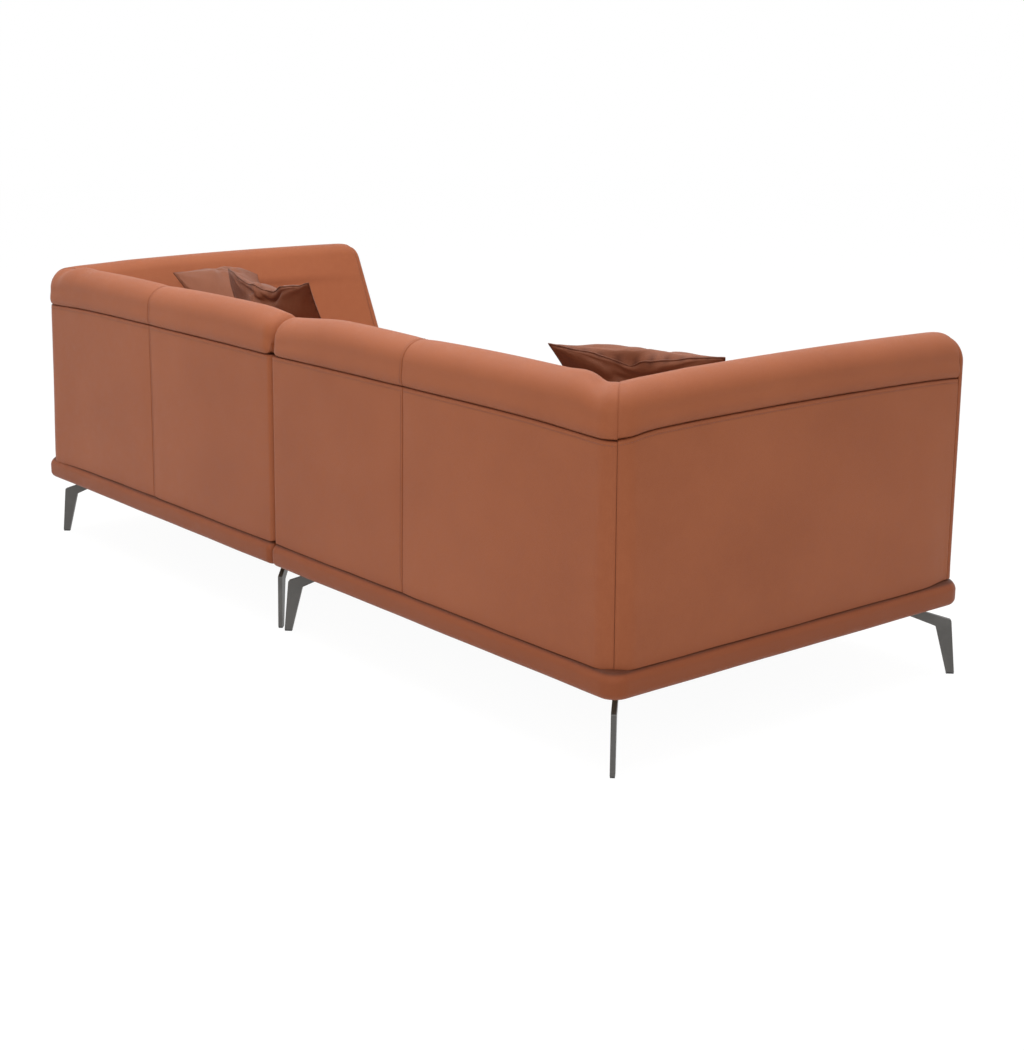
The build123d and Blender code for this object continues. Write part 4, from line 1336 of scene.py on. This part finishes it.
# The padded pieces
def build_module(side):
    """All padded leather pieces of one module with their stitching."""
    hand = sides[side]
    body = side + "_module"
    seam = seam_from_joint[side]
    swell = corner_swell[side]
    inner = (joint_gap, seam - half_seam, panel_end_round, None, swell)
    outer = (seam + half_seam, mitre_at - mitre_half_seam, None, mitre_round, swell)
    arm = (mitre_at + mitre_half_seam, arm_end, mitre_round, arm_end_round, swell)
    covers = [
        ("roll_inner", "back_pad_inner", pad_mesh(*inner_pad_rings(side), False), pad_fill),
        ("roll_corner", "back_pad_corner", pad_mesh(*corner_pad_rings(side), False), pad_fill),
        ("roll_arm", "arm_pad", pad_mesh(*arm_pad_rings(), True), pad_fill),
        ("cover_back_inner", "back_panel_inner", panel_mesh(*inner, False), cover_fill),
        ("cover_back_corner", "back_panel_corner", panel_mesh(*outer, False), cover_fill),
        ("cover_arm", "arm_panel", panel_mesh(*arm, True), cover_fill),
        ("cover_arm_front", "arm_front_panel", facing_mesh(), cover_fill),
        ("cover_base", "base_pad", base_mesh(), cover_fill),
    ]
    for label, node, (points, faces, mask), fill in covers:
        piece = make_piece(side + "_" + label, mirrored(points, hand), faces, sofa_leather, mask)
        settle(piece, body, [side + "_" + node])
    up = np.linspace(*stitched_heights, 60)
    points, faces = stitch_mesh([
        welt_row(inner, joint_gap + row_inset["joint"], seam - row_inset["seam"], 60, False),
        welt_row(outer, seam + row_inset["seam"], mitre_at - row_inset["seam"], 90, False),
        panel_row(np.full_like(up, seam - half_seam - seam_stitch), up, inner, False),
        roll_row(side),
        welt_row(arm, mitre_at + row_inset["arm"], arm_end - row_inset["nose"], 120, True),
    ])
    stitching = make_piece(side + "_seam_stitching", mirrored(points, hand), faces, sofa_thread)
    settle(stitching, body, [])


for side in sides:
    build_module(side)
seat_points, seat_faces = filled_seat()
for side in sides:
    build_seat(side, seat_points, seat_faces)
for name, place in pillow_places.items():
    build_pillow(name, place, pillow_forms[name])


# Studio: pale floor, soft light, white surroundings
def seen_directly(g):
    """1 for rays from the camera, off a glossy surface or through a clear one, 0 for the rest."""
    path = g.add("ShaderNodeLightPath").outputs
    glossy = g.math("MAXIMUM", path["Is Glossy Ray"], path["Is Transmission Ray"])
    return g.math("MAXIMUM", path["Is Camera Ray"], glossy)


def studio_floor():
    """Round pale floor that shows white to the camera but keeps a soft shadow."""
    count = 48
    verts = [(0.0, 0.0, 0.0)]
    for radius in (4.0, 14.0):
        for angle in np.linspace(0.0, 2.0 * math.pi, count, endpoint=False):
            verts.append((radius * math.cos(angle), radius * math.sin(angle), 0.0))
    faces = []
    for k in range(1, count + 1):
        following = k % count + 1
        faces.append((0, k, following))
        faces.append((k, count + k, count + following, following))
    mesh = bpy.data.meshes.new("studio_floor")
    mesh.from_pydata(verts, [], faces)
    material = bpy.data.materials.new("studio_floor")
    g = empty_nodes(material)
    matt = g.add("ShaderNodeBsdfDiffuse", {"Color": (0.80, 0.80, 0.80, 1.0)}).outputs[0]
    glow = g.add("ShaderNodeEmission", {"Color": (1.0, 1.0, 1.0, 1.0), "Strength": 1.06}).outputs[0]
    share = g.math("MULTIPLY", seen_directly(g), 0.9)
    blend = g.add("ShaderNodeMixShader", {0: share, 1: matt, 2: glow})
    g.add("ShaderNodeOutputMaterial", {"Surface": blend.outputs[0]})
    mesh.materials.append(material)
    floor = bpy.data.objects.new("studio_floor", mesh)
    floor.location = (0.0, 0.0, -0.0005)
    bpy.context.collection.objects.link(floor)


def soft_light(name, place, target, size, power):
    """Large rectangular lamp aimed at one point."""
    lamp = bpy.data.lights.new(name, "AREA")
    lamp.shape = "RECTANGLE"
    lamp.size, lamp.size_y = size
    lamp.energy = power
    holder = bpy.data.objects.new(name, lamp)
    holder.location = place
    holder.rotation_euler = (Vector(target) - Vector(place)).to_track_quat("-Z", "Y").to_euler()
    bpy.context.collection.objects.link(holder)


def studio_world():
    """White surroundings where they are seen directly, even soft light for everything else."""
    world = bpy.data.worlds.new("studio_world")
    g = empty_nodes(world)
    even = g.add("ShaderNodeBackground", {"Color": (1.0, 1.0, 1.0, 1.0), "Strength": 0.55}).outputs[0]
    white = g.add("ShaderNodeBackground", {"Color": (1.0, 1.0, 1.0, 1.0), "Strength": 1.0}).outputs[0]
    blend = g.add("ShaderNodeMixShader", {0: seen_directly(g), 1: even, 2: white})
    g.add("ShaderNodeOutputWorld", {"Surface": blend.outputs[0]})
    bpy.context.scene.world = world


studio_floor()
studio_world()
soft_light("softbox_above", (-0.1, 0.3, 3.4), (0.0, 0.0, 0.5), (4.6, 3.0), 145.0)
soft_light("softbox_back", (-4.7, 4.9, 3.2), (0.0, 0.1, 0.4), (3.8, 2.6), 105.0)

camera_data = bpy.data.cameras.new("photo_camera")
camera_data.lens = 63.10
camera_data.sensor_width = 36.0
camera = bpy.data.objects.new("photo_camera", camera_data)
camera.location = (-3.4552, 2.5614, 1.2964)
camera.rotation_euler = Vector((0.7550, -0.6047, -0.2536)).to_track_quat("-Z", "Y").to_euler()
bpy.context.collection.objects.link(camera)
scene = bpy.context.scene
scene.camera = camera
scene.view_settings.view_transform = "Standard"

bpy.context.view_layer.update()
